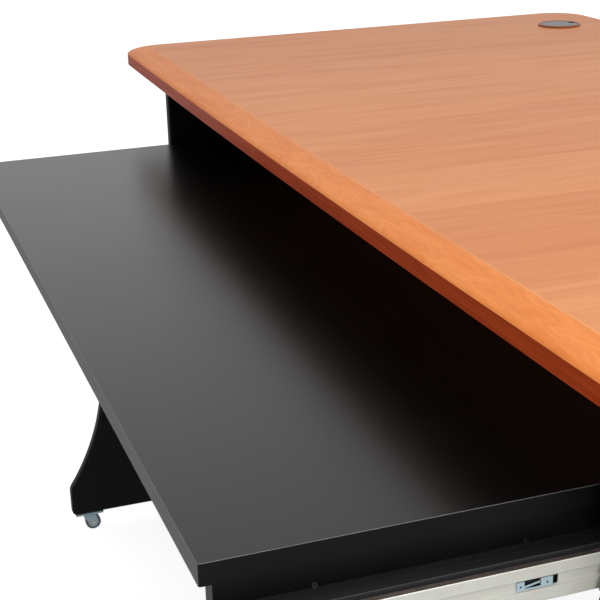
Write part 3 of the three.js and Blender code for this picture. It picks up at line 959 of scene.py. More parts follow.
def settle(piece: bpy.types.Object, body: str, slot: str, *nodes: str) -> None:
    """Put a finished piece on its body and let it stand for CAD nodes.

    Args:
        piece: The piece.
        body: The CAD body that it rides on.
        slot: The record's material slot; it is not used.
        nodes: The CAD nodes that it stands for.
    """
    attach(piece, body)
    if nodes:
        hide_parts(*nodes)
    LOG.info("%s: %d faces on %s", piece.name, len(piece.data.polygons), body)


def middle(node: str) -> Vector:
    """The middle of a CAD node's box."""
    low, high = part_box(node)
    return (low + high) / 2


def flank(node: str, sign: float) -> float:
    """The X of a CAD node's face on the side that a sign points to."""
    low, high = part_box(node)
    return high.x if sign > 0 else low.x


def row(node: str, along: Axis, shares: Sequence[float], **levels: float) -> list[Vector]:
    """Points in a row along a CAD node.

    Args:
        node: The CAD node.
        along: The axis of the row.
        shares: Where the points stand, as shares of the node's length on that axis.
        levels: Where the row lies on another axis, by its letter; without one it is in the middle.

    Returns:
        The points.
    """
    low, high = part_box(node)
    points = []
    for share in shares:
        point = (low + high) / 2
        point[along.value] = low[along.value] + (high[along.value] - low[along.value]) * share
        for letter, level in levels.items():
            setattr(point, letter, level)
        points.append(point)
    return points


# Repeated pieces


class Repeats:
    """A Geometry Nodes tree that puts a copy of one object on every point of a mesh."""

    def __init__(self) -> None:
        """Build the tree and note the identifiers of its inputs."""
        self.tree = bpy.data.node_groups.new("copies_on_points", "GeometryNodeTree")
        face = self.tree.interface
        kinds = {
            "Points": "Geometry", "Pattern": "Object", "Turn": "Rotation", "Size": "Float",
            "Material": "Material",
        }
        self.inputs = {
            name: face.new_socket(name, in_out="INPUT", socket_type=f"NodeSocket{kind}").identifier
            for name, kind in kinds.items()
        }
        face.new_socket("Copies", in_out="OUTPUT", socket_type="NodeSocketGeometry")
        given = add_node(self.tree, "NodeGroupInput").outputs
        shape = add_node(self.tree, "GeometryNodeObjectInfo", inputs={"Object": given["Pattern"]})
        points = add_node(self.tree, "GeometryNodeMeshToPoints", inputs={"Mesh": given["Points"]})
        copies = add_node(
            self.tree,
            "GeometryNodeInstanceOnPoints",
            inputs={
                "Points": points.outputs["Points"], "Instance": shape.outputs["Geometry"],
                "Rotation": given["Turn"], "Scale": given["Size"],
            },
        )
        real = add_node(
            self.tree, "GeometryNodeRealizeInstances", inputs={"Geometry": copies.outputs["Instances"]}
        )
        dressed = add_node(
            self.tree,
            "GeometryNodeSetMaterial",
            inputs={"Geometry": real.outputs["Geometry"], "Material": given["Material"]},
        )
        add_node(self.tree, "NodeGroupOutput", inputs={"Copies": dressed.outputs["Geometry"]})

    def place(
        self,
        name: str,
        pattern: bpy.types.Object,
        points: Sequence[Vector],
        facing: Vector,
        material: bpy.types.Material,
        size: float,
    ) -> bpy.types.Object:
        """Copy a pattern, whose own axis is +Z, onto points.

        Args:
            name: The new piece's name.
            pattern: The object that is copied.
            points: Where the copies stand.
            facing: The direction in which their +Z points.
            material: The material of the copies.
            size: The scale of the copies.

        Returns:
            The copies in one plain mesh.
        """
        data = bpy.data.meshes.new(name)
        data.from_pydata([tuple(point) for point in points], [], [])
        piece = bpy.data.objects.new(name, data)
        bpy.context.scene.collection.objects.link(piece)
        modifier = piece.modifiers.new("copies", "NODES")
        modifier.node_group = self.tree
        modifier[self.inputs["Pattern"]] = pattern
        modifier[self.inputs["Turn"]] = tuple(facing.to_track_quat("Z", "Y").to_euler())
        modifier[self.inputs["Size"]] = size
        modifier[self.inputs["Material"]] = material
        apply_modifiers(piece)
        return piece


@dataclass
class Hardware:
    """The patterns that are copied, each of radius 1: a screw head, a cover cap and a ball."""

    repeats: Repeats
    head_seat: float = -0.2
    head_top: float = 0.195
    head_edge: float = 0.08
    head_dome: float = 0.055
    recess_reach: float = 0.56
    recess_half: float = 0.12
    recess_depth: float = 0.32
    recess_overrun: float = 0.5
    cap_seat: float = -0.08
    cap_top: float = 0.1
    cap_edge: float = 0.04
    cap_dome: float = 0.03
    head_sides: int = 32
    cap_sides: int = 40
    ball_sides: int = 16
    ball_rings: int = 10

    def __post_init__(self) -> None:
        """Make the patterns and hide them."""
        self.flat_head = self.screw_head("flat_head")
        section = disc_section(1.0, self.cap_seat, self.cap_top, self.cap_edge, self.cap_dome)
        self.cover_cap = self.keep("cover_cap", turned(section, Axis.Z, Vector(), self.cap_sides))
        ball = bmesh.new()
        bmesh.ops.create_uvsphere(ball, u_segments=self.ball_sides, v_segments=self.ball_rings, radius=1.0)
        self.ball = self.keep("ball", ball)

    def keep(self, name: str, mesh: bmesh.types.BMesh) -> bpy.types.Object:
        """Make a pattern object and leave it out of the render."""
        pattern = as_object(name, mesh)
        pattern.data.shade_smooth()
        pattern.data.set_sharp_from_angle(angle=SMOOTH_BELOW)
        pattern.hide_render = True
        return pattern

    def screw_head(self, name: str) -> bpy.types.Object:
        """A head with a cross recess, seated on Z = 0."""
        section = disc_section(1.0, self.head_seat, self.head_top, self.head_edge, self.head_dome)
        head = as_object(name, turned(section, Axis.Z, Vector(), self.head_sides))
        bottom = self.head_top - self.recess_depth
        top = self.head_top + self.recess_overrun
        recess = []
        reach, half = self.recess_reach, self.recess_half
        for long_x, long_y in ((reach, half), (half, reach)):
            outline = [(-long_x, -long_y), (long_x, -long_y), (long_x, long_y), (-long_x, long_y)]
            recess.append(prism(outline, Axis.Z, bottom, top))
        cut(head, recess)
        data = bmesh.new()
        data.from_mesh(head.data)
        bpy.data.objects.remove(head)
        return self.keep(name, data)

    def add(
        self,
        name: str,
        pattern: bpy.types.Object,
        points: Sequence[Vector],
        facing: Place,
        radius_mm: float,
        material: bpy.types.Material,
        body: str,
        slot: str,
    ) -> None:
        """Put copies of a pattern on a body.

        Args:
            name: The piece's name.
            pattern: What is copied.
            points: Where, in metres.
            facing: The direction in which the heads point.
            radius_mm: The head's radius.
            material: Its material.
            body: The body that it rides on.
            slot: The record's material slot.
        """
        piece = self.repeats.place(name, pattern, points, Vector(facing), material, radius_mm * MM)
        settle(piece, body, slot)

    def clear(self) -> None:
        """Remove the patterns once everything is copied."""
        for pattern in (self.flat_head, self.cover_cap, self.ball):
            bpy.data.objects.remove(pattern)


# The desk


@dataclass
class DeskPart:
    """A group of pieces, with the finishes and the hardware that all groups share."""

    finishes: Finishes
    hardware: Hardware


@dataclass
class Desktop(DeskPart):
    """The cherry top: a laminate board with a solid lipping, and two cable grommets."""

    lipping_mm: float = 42.0
    bow_mm: float = 7.0
    front_corner_mm: float = 65.0
    rear_corner_mm: float = 60.0
    arris_mm: tuple[Pair, ...] = ((0.0, 3.0), (0.8, 2.25), (1.8, 1.5), (3.1, 0.85), (4.8, 0.3), (7.0, 0.0))
    lower_arris_mm: float = 1.5
    joint_mm: float = 0.05
    # The width of the pale strip that paints the joint's highlight.
    line_mm: float = 1.4
    hole_radius_mm: float = 30.0
    rim_width_mm: float = 4.0
    rim_height_mm: float = 3.0
    rim_chamfer_mm: float = 1.2
    liner_wall_mm: float = 2.0
    ledge_width_mm: float = 3.0
    ledge_mm: float = 1.5
    cap_mm: float = 4.0
    notch_width_mm: float = 14.0
    notch_depth_mm: float = 11.0
    liner_play_mm: float = 0.6
    rim_lift_mm: float = 0.3
    moulded_edge_mm: float = 0.5
    cap_edge_mm: float = 0.3
    cap_dome_mm: float = 0.4
    arris_sharp_from: float = math.radians(25.0)
    painted_shade_tilt: float = 0.3
    band_tilt: float = 0.8
    front_steps: int = 40
    corner_steps: int = 24
    notch_steps: int = 16
    hole_sides: int = 64
    grommet_sides: int = 72

    def build(self) -> None:
        """Build every piece of the top."""
        self.build_slabs()
        for side in SIDES:
            self.build_grommet(side)

    def bow_radius(self) -> float:
        """The radius of the wide arc that the front edge follows."""
        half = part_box("desktop_board")[1].x
        bow = self.bow_mm * MM
        return (half ** 2 + bow ** 2) / (2 * bow)

    def outline(self, inset: float) -> list[Pair]:
        """The top's outline in X and Y: straight ends and rear, round corners and a bowed front.

        Args:
            inset: How far inside the true outline it runs.

        Returns:
            The outline's points, as many for any inset.
        """
        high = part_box("desktop_board")[1]
        radius = self.bow_radius()
        front_corner = self.front_corner_mm * MM
        rear_corner = self.rear_corner_mm * MM
        reach = high.x - front_corner
        rear_reach = high.x - rear_corner
        swing = math.asin(reach / (radius - front_corner))
        bow_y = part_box("desktop_front_lipping")[0].y + radius
        corner_y = bow_y - (radius - front_corner) * math.cos(swing)
        rear_y = high.y - rear_corner
        first, last = -QUARTER_TURN - swing, swing - QUARTER_TURN
        steps = self.corner_steps
        points = arc((0.0, bow_y), radius - inset, first, last, self.front_steps)
        points += arc((reach, corner_y), front_corner - inset, last, 0.0, steps)[1:]
        points += arc((rear_reach, rear_y), rear_corner - inset, 0.0, QUARTER_TURN, steps)
        points += arc((-rear_reach, rear_y), rear_corner - inset, QUARTER_TURN, math.pi, steps)
        points += arc((-reach, corner_y), front_corner - inset, math.pi, first + 2 * math.pi, steps)[:-1]
        return points

    def whole(self) -> bmesh.types.BMesh:
        """The top in one piece: its upper arris is a long flat curve, its lower one a short chamfer."""
        low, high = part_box("desktop_board")
        levels = [(self.lower_arris_mm, low.z), (0.0, low.z + self.lower_arris_mm * MM)]
        levels += [(inset, high.z - drop * MM) for inset, drop in self.arris_mm]
        mesh = bmesh.new()
        rings = []
        for inset, height in levels:
            points = self.outline(inset * MM)
            rings.append([mesh.verts.new((across, along, height)) for across, along in points])
        mesh.faces.new(rings[0])
        mesh.faces.new(rings[-1])
        count = len(rings[0])
        for lower, upper in zip(rings, rings[1:]):
            for index in range(count):
                after = (index + 1) % count
                mesh.faces.new((lower[index], lower[after], upper[after], upper[index]))
        bmesh.ops.recalc_face_normals(mesh, faces=mesh.faces)
        return mesh

    def side_of_joint(self, distance_mm: float, far_y: float) -> bmesh.types.BMesh:
        """Everything on one side of a line that follows the front edge.

        Args:
            distance_mm: How far behind the front edge the line runs.
            far_y: How far the block reaches from the line, in front of the desk or behind it.

        Returns:
            The block.
        """
        low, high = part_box("desktop_board")
        radius = self.bow_radius()
        half = high.x + CUTTER_OVERRUN_M
        swing = math.asin(half / radius)
        line_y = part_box("desktop_front_lipping")[0].y + distance_mm * MM + radius
        line = arc((0.0, line_y), radius, -QUARTER_TURN - swing, swing - QUARTER_TURN, self.front_steps)
        bottom, top = low.z - CUTTER_OVERRUN_M, high.z + CUTTER_OVERRUN_M
        return prism([*line, (half, far_y), (-half, far_y)], Axis.Z, bottom, top)

    def build_slabs(self) -> None:
        """The laminate board, a pale strip behind the lipping that paints the joint's highlight, and the
        solid lipping with painted shade on its faces that turn from the top.
        """
        front_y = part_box("desktop_front_lipping")[0].y - CUTTER_OVERRUN_M
        rear_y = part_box("desktop_board")[1].y + CUTTER_OVERRUN_M
        seam = self.lipping_mm
        board_seam = seam + self.line_mm
        gap = self.joint_mm
        self.build_board(self.side_of_joint(board_seam + gap, front_y))
        # Painted highlight: a pale strip of cherry just behind the lipping.
        line = as_object("desktop_joint_line", self.whole(), self.finishes.joint_painted_highlight)
        cut(line, [self.side_of_joint(seam + gap, front_y), self.side_of_joint(board_seam - gap, rear_y)])
        soften(line, 0.0)
        settle(line, "frame", "solid_cherry")
        lipping = as_object(
            "desktop_lipping_moulded", self.whole(), self.finishes.cherry, self.finishes.cherry_painted_shade
        )
        cut(lipping, [self.side_of_joint(seam - gap, rear_y)])
        lipping.data.shade_smooth()
        lipping.data.set_sharp_from_angle(angle=self.arris_sharp_from)
        # Painted shade: the faces that turn away from the top take the darker cherry copy.
        paint_faces(lipping, 1, lambda face: face.normal.z < self.painted_shade_tilt)
        settle(lipping, "frame", "solid_cherry", "desktop_front_lipping")

    def build_board(self, lipping_room: bmesh.types.BMesh) -> None:
        """The laminate board with its two cable holes and its edge band.

        Args:
            lipping_room: What is taken off its front for the lipping.
        """
        low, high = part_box("desktop_board")
        board = as_object(
            "desktop_board_laminated", self.whole(), self.finishes.laminate, self.finishes.cherry_band
        )
        cutters = [lipping_room]
        for side in SIDES:
            centre = middle(f"grommet_ring_{side}")
            radius = self.hole_radius_mm * MM
            ring = arc((centre.x, centre.y), radius, 0.0, 2 * math.pi, self.hole_sides)[:-1]
            cutters.append(prism(ring, Axis.Z, low.z - CUTTER_OVERRUN_M, high.z + CUTTER_OVERRUN_M))
        cut(board, cutters)
        soften(board, 0.0)
        paint_faces(board, 1, lambda face: abs(face.normal.z) < self.band_tilt)
        settle(board, "frame", "cherry_laminate", "desktop_board")

    def build_grommet(self, side: str) -> None:
        """The liner and the turning cap of one cable hole."""
        centre = middle(f"grommet_ring_{side}")
        centre.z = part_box(f"grommet_ring_{side}")[1].z
        self.build_liner(f"grommet_liner_{side}", f"grommet_ring_{side}", centre)
        self.build_cap(f"grommet_cap_moulded_{side}", f"grommet_cap_{side}", centre)

    def build_liner(self, name: str, node: str, centre: Vector) -> None:
        """The liner: a sleeve in the hole, a rim on the board and a ledge that the cap turns on.

        Args:
            name: The piece's name.
            node: The CAD node.
            centre: The middle of the rim's upper face.
        """
        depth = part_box(node)[0].z - centre.z
        outer = (self.hole_radius_mm + self.rim_width_mm) * MM
        sleeve = (self.hole_radius_mm - self.liner_play_mm) * MM
        inner = sleeve - self.liner_wall_mm * MM
        ledge = inner - self.ledge_width_mm * MM
        ledge_top = -self.cap_mm * MM
        ledge_bottom = ledge_top - self.ledge_mm * MM
        rim = (self.rim_lift_mm - self.rim_height_mm) * MM
        chamfer = self.rim_chamfer_mm * MM
        section = [
            (ledge, ledge_bottom), (inner, ledge_bottom), (inner, depth), (sleeve, depth), (sleeve, rim),
            (outer, rim), (outer, -chamfer), (outer - chamfer, 0.0), (inner, 0.0), (inner, ledge_top),
            (ledge, ledge_top),
        ]
        rounded = filleted(section, self.moulded_edge_mm * MM, steps=3)
        liner = as_object(
            name, turned(rounded, Axis.Z, centre, self.grommet_sides), self.finishes.brown_plastic
        )
        soften(liner, 0.0)
        settle(liner, "frame", "brown_plastic", node)

    def build_cap(self, name: str, node: str, centre: Vector) -> None:
        """The cap with its cable notch, which stands at the rear.

        Args:
            name: The piece's name.
            node: The CAD node, which is also the name of the cap's body.
            centre: The middle of the rim's upper face.
        """
        low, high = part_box(node)
        radius = (high.x - low.x) / 2
        section = disc_section(
            radius, low.z - centre.z, high.z - centre.z, self.moulded_edge_mm * MM, self.cap_dome_mm * MM
        )
        cap = as_object(
            name, turned(section, Axis.Z, centre, self.grommet_sides), self.finishes.grey_plastic
        )
        half = self.notch_width_mm * MM / 2
        end = centre.y + radius - self.notch_depth_mm * MM + half
        notch = arc((centre.x, end), half, math.pi, 2 * math.pi, self.notch_steps)
        notch += [(centre.x + half, centre.y + 2 * radius), (centre.x - half, centre.y + 2 * radius)]
        reach = 2 * CUTTER_OVERRUN_M
        cut(cap, [prism(notch, Axis.Z, centre.z - reach, centre.z + reach)])
        soften(cap, self.cap_edge_mm)
        settle(cap, node, "grey_plastic", node)


@dataclass
class SidePanels(DeskPart):
    """The two black side panels: an ogee front edge, a waist and a flared toe."""

    setback_mm: float = 33.5
    ogee_drop_mm: float = 99.0
    toe_height_mm: float = 38.0
    nose_mm: float = 20.0
    flare_mm: float = 350.0
    flare_angle: float = math.radians(34.0)
    corner_mm: float = 6.0
    arris_mm: float = 4.0
    cap_radius_mm: float = 6.0
    cap_shares: Place = (0.12, 0.5, 0.88)
    band_tilt: float = 0.95
    arris_steps: int = 6
    curve_steps: int = 24
    nose_steps: int = 10
    corner_steps: int = 8

    def build(self) -> None:
        """Build both panels and the caps over their screws."""
        for side in SIDES:
            self.build_panel(side)
            self.build_caps(side)

    def outline(self, low: Vector, high: Vector) -> list[Pair]:
        """The panel's outline in Y and Z, from the rear foot round to the toe."""
        toe = low.y
        floor = low.z
        corner = self.corner_mm * MM
        nose = self.nose_mm * MM
        flare = self.flare_mm * MM
        rise = math.sin(self.flare_angle)
        run = 1.0 - math.cos(self.flare_angle)
        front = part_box("desktop_front_lipping")[0].y + self.setback_mm * MM
        nose_z = floor + self.toe_height_mm * MM
        waist_y = toe + (nose + flare) * run
        waist_z = nose_z + (nose + flare) * rise
        top_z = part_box("desktop_board")[0].z - self.ogee_drop_mm * MM
        ogee_rise = top_z - waist_z
        ogee_run = front - waist_y
        radius = (ogee_rise ** 2 + ogee_run ** 2) / (4 * ogee_run)
        angle = math.asin(ogee_rise / 2 / radius)
        heel = (high.y - corner, floor + corner)
        tip = (toe + corner, floor + corner)
        points = arc(heel, corner, -QUARTER_TURN, 0.0, self.corner_steps)
        points += [(high.y, high.z), (front, high.z)]
        points += arc((front - radius, top_z), radius, 0.0, -angle, self.curve_steps)
        points += arc((waist_y + radius, waist_z), radius, math.pi - angle, math.pi, self.curve_steps)[1:]
        points += arc((waist_y - flare, waist_z), flare, 0.0, -self.flare_angle, self.curve_steps)[1:]
        points += arc((toe + nose, nose_z), nose, math.pi - self.flare_angle, math.pi, self.nose_steps)[1:]
        points += arc(tip, corner, math.pi, 3 * QUARTER_TURN, self.corner_steps)
        return points

    def build_panel(self, side: str) -> None:
        """One panel with its edge band."""
        low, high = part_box(f"side_panel_{side}")
        mesh = prism(self.outline(low, high), Axis.X, low.x, high.x)
        round_rims(mesh, Axis.X, (low.x, high.x), self.arris_mm * MM, self.arris_steps)
        panel = as_object(
            f"side_panel_banded_{side}", mesh, self.finishes.matt_melamine, self.finishes.band
        )
        soften(panel, 0.0)
        paint_faces(panel, 1, lambda face: abs(face.normal.x) < self.band_tilt)
        settle(panel, "frame", "black_melamine", f"side_panel_{side}")

    def build_caps(self, side: str) -> None:
        """Caps over the screws that hold the modesty panel, on the panel's outside."""
        sign = SIGNS[side]
        points = row("modesty_panel", Axis.Z, self.cap_shares, x=flank(f"side_panel_{side}", sign))
        self.hardware.add(
            f"panel_cover_caps_{side}", self.hardware.cover_cap, points, (sign, 0.0, 0.0),
            self.cap_radius_mm, self.finishes.band, "frame", "black_melamine",
        )


@dataclass
class Rails(DeskPart):
    """The modesty panel and the cleats that hold the desktop down."""

    edge_mm: float = 0.8
    screw_radius_mm: float = 4.0
    screw_shares: tuple[float, ...] = (0.08, 0.36, 0.64, 0.92)

    def build(self) -> None:
        """Build the modesty panel and the three cleats."""
        modesty = smooth_copy(
            "modesty_panel_banded", "modesty_panel", self.edge_mm,
            self.finishes.matt_melamine, self.finishes.band,
        )
        paint_faces(modesty, 1, lambda face: abs(face.normal.z) > FACING)
        settle(modesty, "frame", "black_melamine", "modesty_panel")
        self.build_cleat("cleat_rear_planed", "desktop_cleat_rear", Axis.X, self.finishes.cross_timber)
        for side in SIDES:
            self.build_cleat(
                f"cleat_planed_{side}", f"desktop_cleat_{side}", Axis.Y, self.finishes.timber
            )

    def build_cleat(self, name: str, node: str, along: Axis, timber: bpy.types.Material) -> None:
        """A cleat and its screws up into the desktop.

        Args:
            name: The piece's name.
            node: The CAD node.
            along: The axis of its length.
            timber: Its material, whose grain runs the same way.
        """
        cleat = smooth_copy(name, node, self.edge_mm, timber)
        settle(cleat, "frame", "black_timber", node)
        points = row(node, along, self.screw_shares, z=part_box(node)[0].z)
        self.hardware.add(
            f"{node}_screws", self.hardware.flat_head, points, (0.0, 0.0, -1.0),
            self.screw_radius_mm, self.finishes.zinc, "frame", "zinc_steel",
        )


@dataclass
class KeyboardShelf(DeskPart):
    """The pull-out shelf with a cheek and a batten under each end."""

    corner_mm: float = 2.0
    arris_mm: float = 0.5
    edge_mm: float = 0.6
    glue_mm: float = 0.05
    screw_radius_mm: float = 2.3
    screw_shares: Place = (0.176, 0.572, 0.94)
    pin_radius_mm: float = 1.2
    pin_setback_mm: float = 5.5
    pin_shares: Pair = (0.465, 0.88)
    screw_sink_share: float = 0.6
    arris_steps: int = 3

    def build(self) -> None:
        """Build the shelf and what carries it."""
        self.build_shelf()
        for side in SIDES:
            self.build_cheek(side)
            self.build_batten(side)
            self.build_fixings(side)

    def build_shelf(self) -> None:
        """The board with its edge bands and a painted highlight along its upper arris."""
        low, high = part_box("keyboard_shelf")
        points = rounded_rectangle((low.x, low.y), (high.x, high.y), self.corner_mm * MM)
        mesh = prism(points, Axis.Z, low.z, high.z)
        round_rims(mesh, Axis.Z, (high.z,), self.arris_mm * MM, self.arris_steps)
        round_rims(mesh, Axis.Z, (low.z,), self.glue_mm * MM, self.arris_steps)
        shelf = as_object(
            "keyboard_shelf_banded", mesh, self.finishes.melamine, self.finishes.shelf_band,
            self.finishes.band, self.finishes.shelf_arris_highlight,
        )
        soften(shelf, 0.0)
        paint_faces(shelf, 1, lambda face: face.normal.y < -FACING)
        paint_faces(shelf, 2, lambda face: abs(face.normal.x) > FACING or face.normal.y > FACING)
        # Painted highlight on the rounded top arris.
        paint_faces(shelf, 3, lambda face: ARRIS_TILT[0] < face.normal.z < ARRIS_TILT[1])
        settle(shelf, "shelf", "black_melamine", "keyboard_shelf")

    def build_cheek(self, side: str) -> None:
        """The upright board under one end, up to a glue line below the shelf."""
        node = f"shelf_cheek_{side}"
        cheek = as_object(f"shelf_cheek_banded_{side}", clean_copy(node), self.finishes.matt_melamine)
        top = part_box(node)[1].z
        for corner in cheek.data.vertices:
            if corner.co.z > top - self.edge_mm * MM:
                corner.co.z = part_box("keyboard_shelf")[0].z - self.glue_mm * MM
        soften(cheek, self.glue_mm)
        settle(cheek, "shelf", "black_melamine", node)

    def build_batten(self, side: str) -> None:
        """The batten outside the cheek, with a painted highlight along its outer upper arris."""
        node = f"slide_batten_{side}"
        sign = SIGNS[side]
        batten = smooth_copy(
            f"slide_batten_planed_{side}", node, self.edge_mm,
            self.finishes.timber, self.finishes.dull_arris,
        )
        least, most = ARRIS_TILT
        # Painted highlight on the outer upper arris.
        paint_faces(batten, 1, lambda face: least < face.normal.z < most and face.normal.x * sign > least)
        settle(batten, "shelf", "black_timber", node)

    def build_fixings(self, side: str) -> None:
        """The toe screws in the corner between cheek and batten, and the batten's pins."""
        cheek = f"shelf_cheek_{side}"
        batten = f"slide_batten_{side}"
        sign = SIGNS[side]
        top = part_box(batten)[1].z
        sink = self.screw_sink_share * self.screw_radius_mm * MM
        corner = {"x": flank(cheek, sign) + sign * sink, "z": top + sink}
        self.hardware.add(
            f"shelf_cheek_screws_{side}", self.hardware.flat_head,
            row(cheek, Axis.Y, self.screw_shares, **corner), (sign, 0.0, 1.0),
            self.screw_radius_mm, self.finishes.screw, "shelf", "zinc_steel",
        )
        pin_line = flank(batten, -sign) + sign * self.pin_setback_mm * MM
        self.hardware.add(
            f"batten_pins_{side}", self.hardware.cover_cap,
            row(cheek, Axis.Y, self.pin_shares, x=pin_line, z=top), (0.0, 0.0, 1.0),
            self.pin_radius_mm, self.finishes.screw, "shelf", "zinc_steel",
        )


@dataclass
class BallSlides(DeskPart):
    """The two ball slides: cabinet member, shelf member, release lever and ball cage."""

    steel_mm: float = 1.2
    raceway_mm: float = 10.0
    recess_mm: float = 2.0
    slope_mm: float = 0.6
    member_depth_mm: float = 6.0
    lever_from_front_mm: float = 209.9
    nose_mm: float = 6.2
    window_mm: float = 12.9
    tail_mm: float = 9.3
    rear_window_mm: float = 4.6
    window_height_mm: float = 7.6
    bend_mm: float = 1.1
    pin_radius_mm: float = 1.0
    cage_mm: float = 0.8
    ball_radius_mm: float = 1.5
    balls_in_row: int = 10
    ball_track_mm: float = 6.0
    screw_radius_mm: float = 3.6
    cabinet_screw_shares: Place = (0.09, 0.5, 0.91)
    shelf_screw_shares: Pair = (0.74, 0.94)
    cabinet_edge_mm: float = 0.35
    pressed_edge_mm: float = 0.12
    window_corner_mm: float = 0.9
    cage_bend_mm: float = 0.3
    cage_edge_mm: float = 0.1
    # Where the painted reflection on the slide's top and the painted highlight on its bend lie.
    reflection_from: float = 0.93
    reflection_depth_mm: float = 0.1
    highlight_from: float = 0.25
    highlight_depth_mm: float = 2.0

    def build(self) -> None:
        """Build both slides."""
        for side in SIDES:
            self.build_cabinet_member(side)
            self.build_shelf_member(side)
            self.build_lever(side)
            self.build_cage(side)

    def build_cabinet_member(self, side: str) -> None:
        """The channel on the side panel and its screws."""
        node = f"slide_cabinet_member_{side}"
        member = smooth_copy(
            f"cabinet_channel_{side}", node, self.cabinet_edge_mm, self.finishes.zinc, steps=3
        )
        settle(member, "frame", "zinc_steel", node)
        sign = SIGNS[side]
        face = flank(node, sign) - sign * self.steel_mm * MM
        self.hardware.add(
            f"cabinet_channel_screws_{side}", self.hardware.flat_head,
            row(node, Axis.Y, self.cabinet_screw_shares, x=face), (-sign, 0.0, 0.0),
            self.screw_radius_mm, self.finishes.zinc, "frame", "zinc_steel",
        )

    def shelf_section(self, node: str, sign: float) -> list[Pair]:
        """The rolled section of the shelf member in X and Z, with sharp bends."""
        low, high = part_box(node)
        half = (high.z - low.z) / 2
        place_z = (high.z + low.z) / 2
        steel = self.steel_mm * MM
        step = half - self.raceway_mm * MM
        slope = self.slope_mm * MM
        recess = self.recess_mm * MM
        depth = self.member_depth_mm * MM
        outer = [(0.0, half), (depth, half), (depth, step), (depth - recess, step - slope)]
        inner = [
            (depth - recess - steel, step - slope + steel), (depth - steel, step + steel),
            (depth - steel, half - steel), (0.0, half - steel),
        ]
        section = outer + [(across, -up) for across, up in reversed(outer)]
        section += [(across, -up) for across, up in reversed(inner)] + inner
        root = flank(node, -sign)
        return [(root + sign * across, place_z + up) for across, up in section]

    def windows(self, node: str) -> list[bmesh.types.BMesh]:
        """The blocks that cut two windows into the shelf member's web."""
        low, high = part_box(node)
        place_z = (low.z + high.z) / 2
        half = self.window_height_mm * MM / 2
        start = low.y + (self.lever_from_front_mm + self.nose_mm) * MM
        rear = start + (self.window_mm + self.tail_mm) * MM
        blocks = []
        for first, length in ((start, self.window_mm), (rear, self.rear_window_mm)):
            last = first + length * MM
            hole = [
                (first, place_z - half), (last, place_z - half),
                (last, place_z + half), (first, place_z + half),
            ]
            rounded = filleted(hole, self.window_corner_mm * MM)
            blocks.append(prism(rounded, Axis.X, low.x - 2 * MM, high.x + 2 * MM))
        return blocks

    def build_shelf_member(self, side: str) -> None:
        """The rolled member on the batten, with its two windows and its screws."""
        node = f"slide_shelf_member_{side}"
        low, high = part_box(node)
        sign = SIGNS[side]
        section = filleted(self.shelf_section(node, sign), self.bend_mm * MM)
        member = as_object(
            f"shelf_channel_{side}", prism(section, Axis.Y, low.y, high.y), self.finishes.zinc,
            self.finishes.slide_top_reflection, self.finishes.slide_bend_highlight,
        )
        cut(member, self.windows(node))
        soften(member, self.pressed_edge_mm, angle=60.0)
        flat = high.z - self.reflection_depth_mm * MM
        bend = high.z - self.highlight_depth_mm * MM
        least, most = self.highlight_from, self.reflection_from
        # Painted reflection on the flat top, painted highlight on the upper bend.
        paint_faces(member, 1, lambda face: face.normal.z > most and face.center.z > flat)
        paint_faces(member, 2, lambda face: least < face.normal.z <= most and face.center.z > bend)
        settle(member, "shelf", "zinc_steel", node)
        web = flank(node, sign) - sign * self.recess_mm * MM
        self.hardware.add(
            f"shelf_channel_screws_{side}", self.hardware.flat_head,
            row(node, Axis.Y, self.shelf_screw_shares, x=web), (sign, 0.0, 0.0),
            self.screw_radius_mm, self.finishes.zinc, "shelf", "zinc_steel",
        )

    def build_lever(self, side: str) -> None:
        """The riveted release lever."""
        node = f"slide_release_lever_{side}"
        lever = smooth_copy(
            f"release_lever_pressed_{side}", node, self.pressed_edge_mm,
            self.finishes.blue_zinc, self.finishes.screw,
        )
        low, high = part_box(node)
        pins = (self.nose_mm / 2, self.nose_mm + self.window_mm + self.tail_mm / 2)

        def on_pin(face: bpy.types.MeshPolygon) -> bool:
            """Whether a face belongs to one of the two pins."""
            up = face.center.z - (low.z + high.z) / 2
            across = min(abs(face.center.y - low.y - pin * MM) for pin in pins)
            return len(face.vertices) != 4 and math.hypot(up, across) < self.pin_radius_mm * MM

        paint_faces(lever, 1, on_pin)
        settle(lever, "shelf", "blue_zinc", node)

    def build_cage(self, side: str) -> None:
        """The ball cage: a pressed strip and two rows of balls."""
        node = f"slide_ball_cage_{side}"
        low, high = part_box(node)
        sign = SIGNS[side]
        half = (high.z - low.z) / 2 - (self.ball_radius_mm - self.cage_mm / 2) * MM
        place_z = (high.z + low.z) / 2
        steel = self.cage_mm * MM
        wide = high.x - low.x
        upper = [(0.0, half), (wide, half), (wide, half - steel), (steel, half - steel)]
        section = upper + [(across, -up) for across, up in reversed(upper)]
        root = flank(node, sign)
        placed = [(root - sign * across, place_z + up) for across, up in section]
        strip = as_object(
            f"ball_cage_strip_{side}",
            prism(filleted(placed, self.cage_bend_mm * MM, steps=3), Axis.Y, low.y, high.y),
            self.finishes.bearing,
        )
        soften(strip, self.cage_edge_mm)
        settle(strip, f"ball_cage_{side}", "bearing_steel", node)
        pitch = (high.y - low.y) / self.balls_in_row
        ball_x = root - sign * self.ball_track_mm * MM
        points = []
        for ball_z in (place_z - half + steel / 2, place_z + half - steel / 2):
            for number in range(self.balls_in_row):
                points.append(Vector((ball_x, low.y + (number + 0.5) * pitch, ball_z)))
        self.hardware.add(
            f"cage_balls_{side}", self.hardware.ball, points, (0.0, 0.0, 1.0),
            self.ball_radius_mm, self.finishes.bearing, f"ball_cage_{side}", "bearing_steel",
        )


